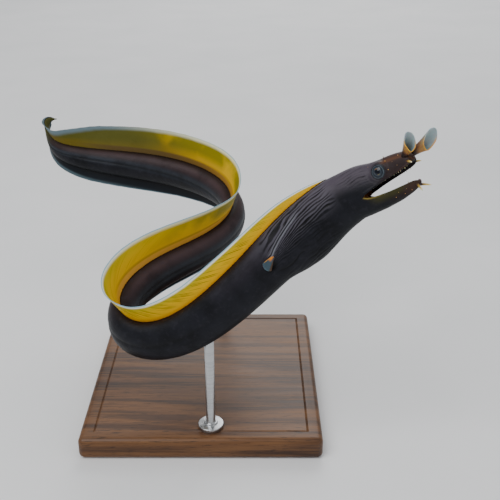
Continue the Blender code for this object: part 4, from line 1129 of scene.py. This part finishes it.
def makePectoral(which, side, node, material):
    fan = pectoral
    distance, height = fan["at"]
    _, back, up, right = (v[0] for v in bodyFrame(np.array([distance])))
    width, crest = (float(profile(swim[key], distance)) for key in ("width", "crest"))
    root = place([distance], [side * width * math.sqrt(1 - (height / crest) ** 2)], [height])[0]
    tilt = math.radians(fan["tilt"])
    along = back * math.cos(tilt) + right * side * math.sin(tilt)
    across = unit(up - up.dot(along) * along)
    through = np.cross(along, across)
    swing = np.linspace(-1, 1, fan["rays"] * fan["perRay"] + 1)[:, None]
    part = np.linspace(0, 1, fan["rows"] + 1)[None, :]
    length = -fan["sink"] + (fan["length"] * (1 - fan["cornerCut"] * swing ** 2) + fan["sink"]) * part
    opened = np.clip(length / fan["length"], 0, 1)
    half = (fan["root"] + (fan["spread"] - fan["root"]) * opened) / 2
    ray = np.cos((swing + 1) / 2 * fan["rays"] * math.tau)
    length = length + fan["scallop"] * ray * ease(part, 0.8, 1)
    middle = (root + along * length[..., None]
              + across * (swing * half - fan["droop"] * opened)[..., None]
              + through * (fan["cup"] * np.sin(swing * 2.0) * opened * side)[..., None])
    relief = fan["rayRelief"] * (1 + ray) * between(part, (0.3, 0.6, 0.85, 1))
    fleshy = fan["fleshy"] * (1 - ease(opened, 0.0, 0.4)) * np.sqrt(1 - 0.99 * swing ** 2)
    thick = fan["thick"] / 2 * (1 - fan["thinning"] * opened) + relief + fleshy
    thick = (thick * np.sqrt(1 - ease(np.abs(swing), 0.9, 1.0)))[..., None]

    fin = closeUp(thinSheet("pectoral" + which, middle, through * thick, {"open": opened, "swing": swing}))
    return dress(fin, material, "blue_leaf", node)


def fanWeb():
    # thin blue-grey web with darker lines between the rays, orange along its upper root and brown below
    f = Finish("pectoral web", "open swing", Roughness=0.4, IOR=1.4, Specular_IOR_Level=0.3,
               Subsurface_Weight=0.1, Subsurface_Scale=0.4 * mm)
    opened, swing = f.notes
    rays = f.node("Math", (f.times(swing, pectoral["rays"] * math.pi),), operation="COSINE")
    f.base = f.layer("#34454e", "#3b4f5a", (rays, -0.6, 0.6))
    f.tint("#4a3118", 0.9, (swing, -0.35, -0.8))
    f.tint("#cf7c12", (opened, 0.4, 0.1), (swing, -0.4, 0.5))
    f.tint("#c98f3a", (swing, 0.8, 0.95), (opened, 0.75, 0.45))
    f.tint("#5e7783", 0.4, (opened, 0.9, 1.0))
    return f.done()


# Stand: a walnut plate with eased edges, and two turned steel rods.
stand = {
    "size": (124.0, 130.0, 12.0), "corner": 3.0,
    "grooveInset": 4.0, "groove": 0.6, "grooveDepth": 0.5,
    "rods": {
        "standRodFront": (124.0, 0.0, "stand_rod_front"),  # distance behind the snout and side
        "standRodRear": (300.0, 3.7, "stand_rod_rear"),
    },
    "rodRadius": 2.4, "footRadius": 6.5, "footHeight": 2.2, "footCone": 0.9,
    "intoBody": 2.5, "intoBase": 0.05,
}


def selectFaces(piece, wanted):
    editMode("DESELECT")
    objectMode()
    for face in piece.data.polygons:
        face.select = wanted(face)
    bpy.ops.object.mode_set(mode="EDIT")


def makeBase(material):
    deselectAll()
    x, y, z = (c * mm for c in stand["size"])
    bpy.ops.mesh.primitive_cube_add(size=1, location=(0, 0, z / 2))
    base = bpy.context.object
    base.name = "standBase"
    base.scale = (x, y, z)
    bpy.ops.object.transform_apply(location=True, rotation=True, scale=True)
    editMode()
    bpy.ops.mesh.bevel(offset=stand["corner"] * mm, segments=8, affect="EDGES")
    selectFaces(base, lambda face: face.normal.z > 0.999 and face.area > 0.5 * x * y)
    grooveDepth = stand["grooveDepth"] * mm
    bpy.ops.mesh.inset(thickness=stand["grooveInset"] * mm, depth=0)
    bpy.ops.mesh.inset(thickness=stand["groove"] * mm, depth=-grooveDepth)
    bpy.ops.mesh.inset(thickness=stand["groove"] * mm, depth=grooveDepth)
    objectMode()
    bpy.ops.object.shade_smooth_by_angle(angle=math.radians(30))
    print("base made")
    return dress(base, material, "walnut", "stand_base")


def makeRod(name, material):
    distance, aside, node = stand["rods"][name]
    x, y, top = place([distance], [aside], [0.0])[0]
    top += stand["intoBody"] - float(profile(swim["belly"], distance))
    bottom = stand["size"][2] - stand["intoBase"]
    footRadius, footHeight, cone = stand["footRadius"], stand["footHeight"], stand["footCone"]
    deselectAll()
    bpy.ops.mesh.primitive_cylinder_add(vertices=64, radius=footRadius * mm, depth=footHeight * mm,
                                        location=(x * mm, y * mm, (bottom + footHeight / 2) * mm))
    rod = bpy.context.object
    rod.name = name
    bpy.ops.object.transform_apply(location=True, rotation=True, scale=True)
    selectFaces(rod, lambda face: face.normal.z > 0.99)
    bpy.ops.mesh.inset(thickness=(footRadius - stand["rodRadius"] - cone) * mm, depth=0)
    bpy.ops.mesh.extrude_region_move(TRANSFORM_OT_translate={"value": (0, 0, cone * mm)})
    bpy.ops.mesh.inset(thickness=cone * mm, depth=0)
    rise = top - bottom - footHeight - cone
    bpy.ops.mesh.extrude_region_move(TRANSFORM_OT_translate={"value": (0, 0, rise * mm)})
    objectMode()
    bevel = rod.modifiers.new("turned edges", "BEVEL")
    bevel.width = 0.35 * mm
    bevel.segments = 3
    bevel.limit_method = "ANGLE"
    bpy.ops.object.modifier_apply(modifier=bevel.name)
    bpy.ops.object.shade_smooth_by_angle(angle=math.radians(30))
    return dress(rod, material, "steel", node)


def oiledWalnut():
    # oiled walnut: wandering growth rings drawn out along X, with short open pores
    f = Finish("oiled walnut", Roughness=0.42, IOR=1.5, Specular_IOR_Level=0.35)
    plank = f.node("Mapping", {"Vector": f.place, "Scale": (2.2, 26.0, 26.0),
                               "Location": (0.31, 0.07, 0.42), "Rotation": (0.0, 0.0, 0.06)})
    flow = f.node("TexNoise", {"Vector": plank, "Scale": 1.0, "Detail": 3})
    rings = f.node("Math", (f.times(flow, 70.0),), operation="SINE")
    grain = f.node("Mapping", {"Vector": f.place, "Scale": (30.0, 900.0, 900.0)})
    fibre = f.node("TexNoise", {"Vector": grain, "Scale": 1.0, "Detail": 3})
    fineGrain = f.node("Mapping", {"Vector": f.place, "Scale": (150.0, 2400.0, 2400.0)})
    pores = f.node("TexNoise", {"Vector": fineGrain, "Scale": 1.0, "Detail": 2})
    streaks = f.node("Math", (f.times(rings, 0.16), flow), operation="ADD")
    f.base = f.node("ValToRGB", (streaks,), stops=((0.25, "#2c1a10"), (0.5, "#4a2f1b"), (0.75, "#674426")))
    f.tint("#7a5431", 0.5, (fibre, 0.45, 0.7))
    f.tint("#1c110a", 0.75, (pores, 0.42, 0.32))
    roughness = f.node("MapRange", (fibre, 0, 1, 0.36, 0.55))
    normal = f.node("Bump", {"Height": pores, "Distance": 0.08 * mm, "Strength": 0.35})
    return f.done(Roughness=roughness, Normal=normal)


def brushedSteel():
    # turned stainless steel, its brushing round the rod
    f = Finish("brushed steel", Metallic=1.0, Roughness=0.3)
    drawn = f.node("Mapping", {"Vector": f.place, "Scale": (60.0, 60.0, 4200.0)})
    lines = f.node("TexNoise", {"Vector": drawn, "Scale": 1.0, "Detail": 3})
    f.base = f.node("ValToRGB", (lines,), stops=((0.3, "#a9abad"), (0.7, "#c6c7c8")))
    roughness = f.node("MapRange", (lines, 0, 1, 0.22, 0.38))
    normal = f.node("Bump", {"Height": lines, "Distance": 0.01 * mm, "Strength": 0.3})
    return f.done(Roughness=roughness, Normal=normal)


# Studio: a pale floor, a soft key from above, a fill and a light behind.
studio = {
    "floor": 8.0,
    "lights": {  # place, size and power of each
        "key": ((-450, -500, 1000), 0.8, 9.0),
        "fill": ((1000, -800, 700), 1.2, 2.6),
        "rim": ((200, 1800, 1400), 1.6, 24.0),
    },
    "aim": (0, 0, 90),
    "world": ("#eceef0", 0.56),
}


def makeStudio():
    deselectAll()
    bpy.ops.mesh.primitive_plane_add(size=studio["floor"], location=(0, 0, 0))
    floor = bpy.context.object
    floor.name = "floor"
    f = Finish("pale matte floor", Roughness=0.85)
    cloud = f.node("TexNoise", {"Vector": f.place, "Scale": 9, "Detail": 4})
    f.base = f.node("ValToRGB", (cloud,), stops=((0.3, "#e2e3e4"), (0.7, "#e8e8e9")))
    floor.data.materials.append(f.done())
    aim = Vector(studio["aim"]) * mm
    for name, (at, size, power) in studio["lights"].items():
        data = bpy.data.lights.new(name, "AREA")
        data.shape = "DISK"
        data.size = size
        data.energy = power
        lamp = addObject(name, data, at)
        lamp.rotation_euler = (aim - lamp.location).to_track_quat("-Z", "Y").to_euler()
    world = bpy.data.worlds.new("studio")
    world.use_nodes = True
    colour, strength = studio["world"]
    background = world.node_tree.nodes["Background"]
    background.inputs["Color"].default_value = toLinear(colour)
    background.inputs["Strength"].default_value = strength
    bpy.context.scene.world = world
    print("studio set")


setCamera()
makeStudio()
bodyNodes = ["head", "lower_jaw", "neck", "body_front", "body_left_bend_a", "body_left_bend_b", "body_middle",
             "body_right_bend_a", "body_right_bend_b", "body_rear", "tail", "tail_tip"]
dress(makeSkin(), wetSkin(), "black_skin", *bodyNodes)
dress(makeFin(dorsal), yellowFinWeb(), "yellow_fin", *[f"dorsal_fin_{i}" for i in range(1, 11)])
dress(makeFin(anal), darkFinWeb(), "dark_fin", *[f"anal_fin_{i}" for i in range(1, 8)])
leaf = leafFlesh()
for which in ("Right", "Left"):
    dress(makeNostril(which), leaf, "blue_leaf", nostrils[which]["node"])
makeFeelers(paleFlesh())
dress(makePapillae(), orangeFlesh(), "gold_flesh")
dress(makeChinNub(), chinFlesh(), "gold_flesh")
dress(makeTeeth(), toothEnamel(), "gold_flesh")
print("head pieces made")
glass, rimMaterial, web = eyeGlass(), rimFlesh(), fanWeb()
for which, side, letter in (("Right", 1, "R"), ("Left", -1, "L")):
    makeEye(which, side, "eye_" + letter, glass, rimMaterial)
    makePectoral(which, side, "pectoral_" + letter, web)
makeBase(oiledWalnut())
steel = brushedSteel()
for rodName in stand["rods"]:
    makeRod(rodName, steel)
print("all pieces made")
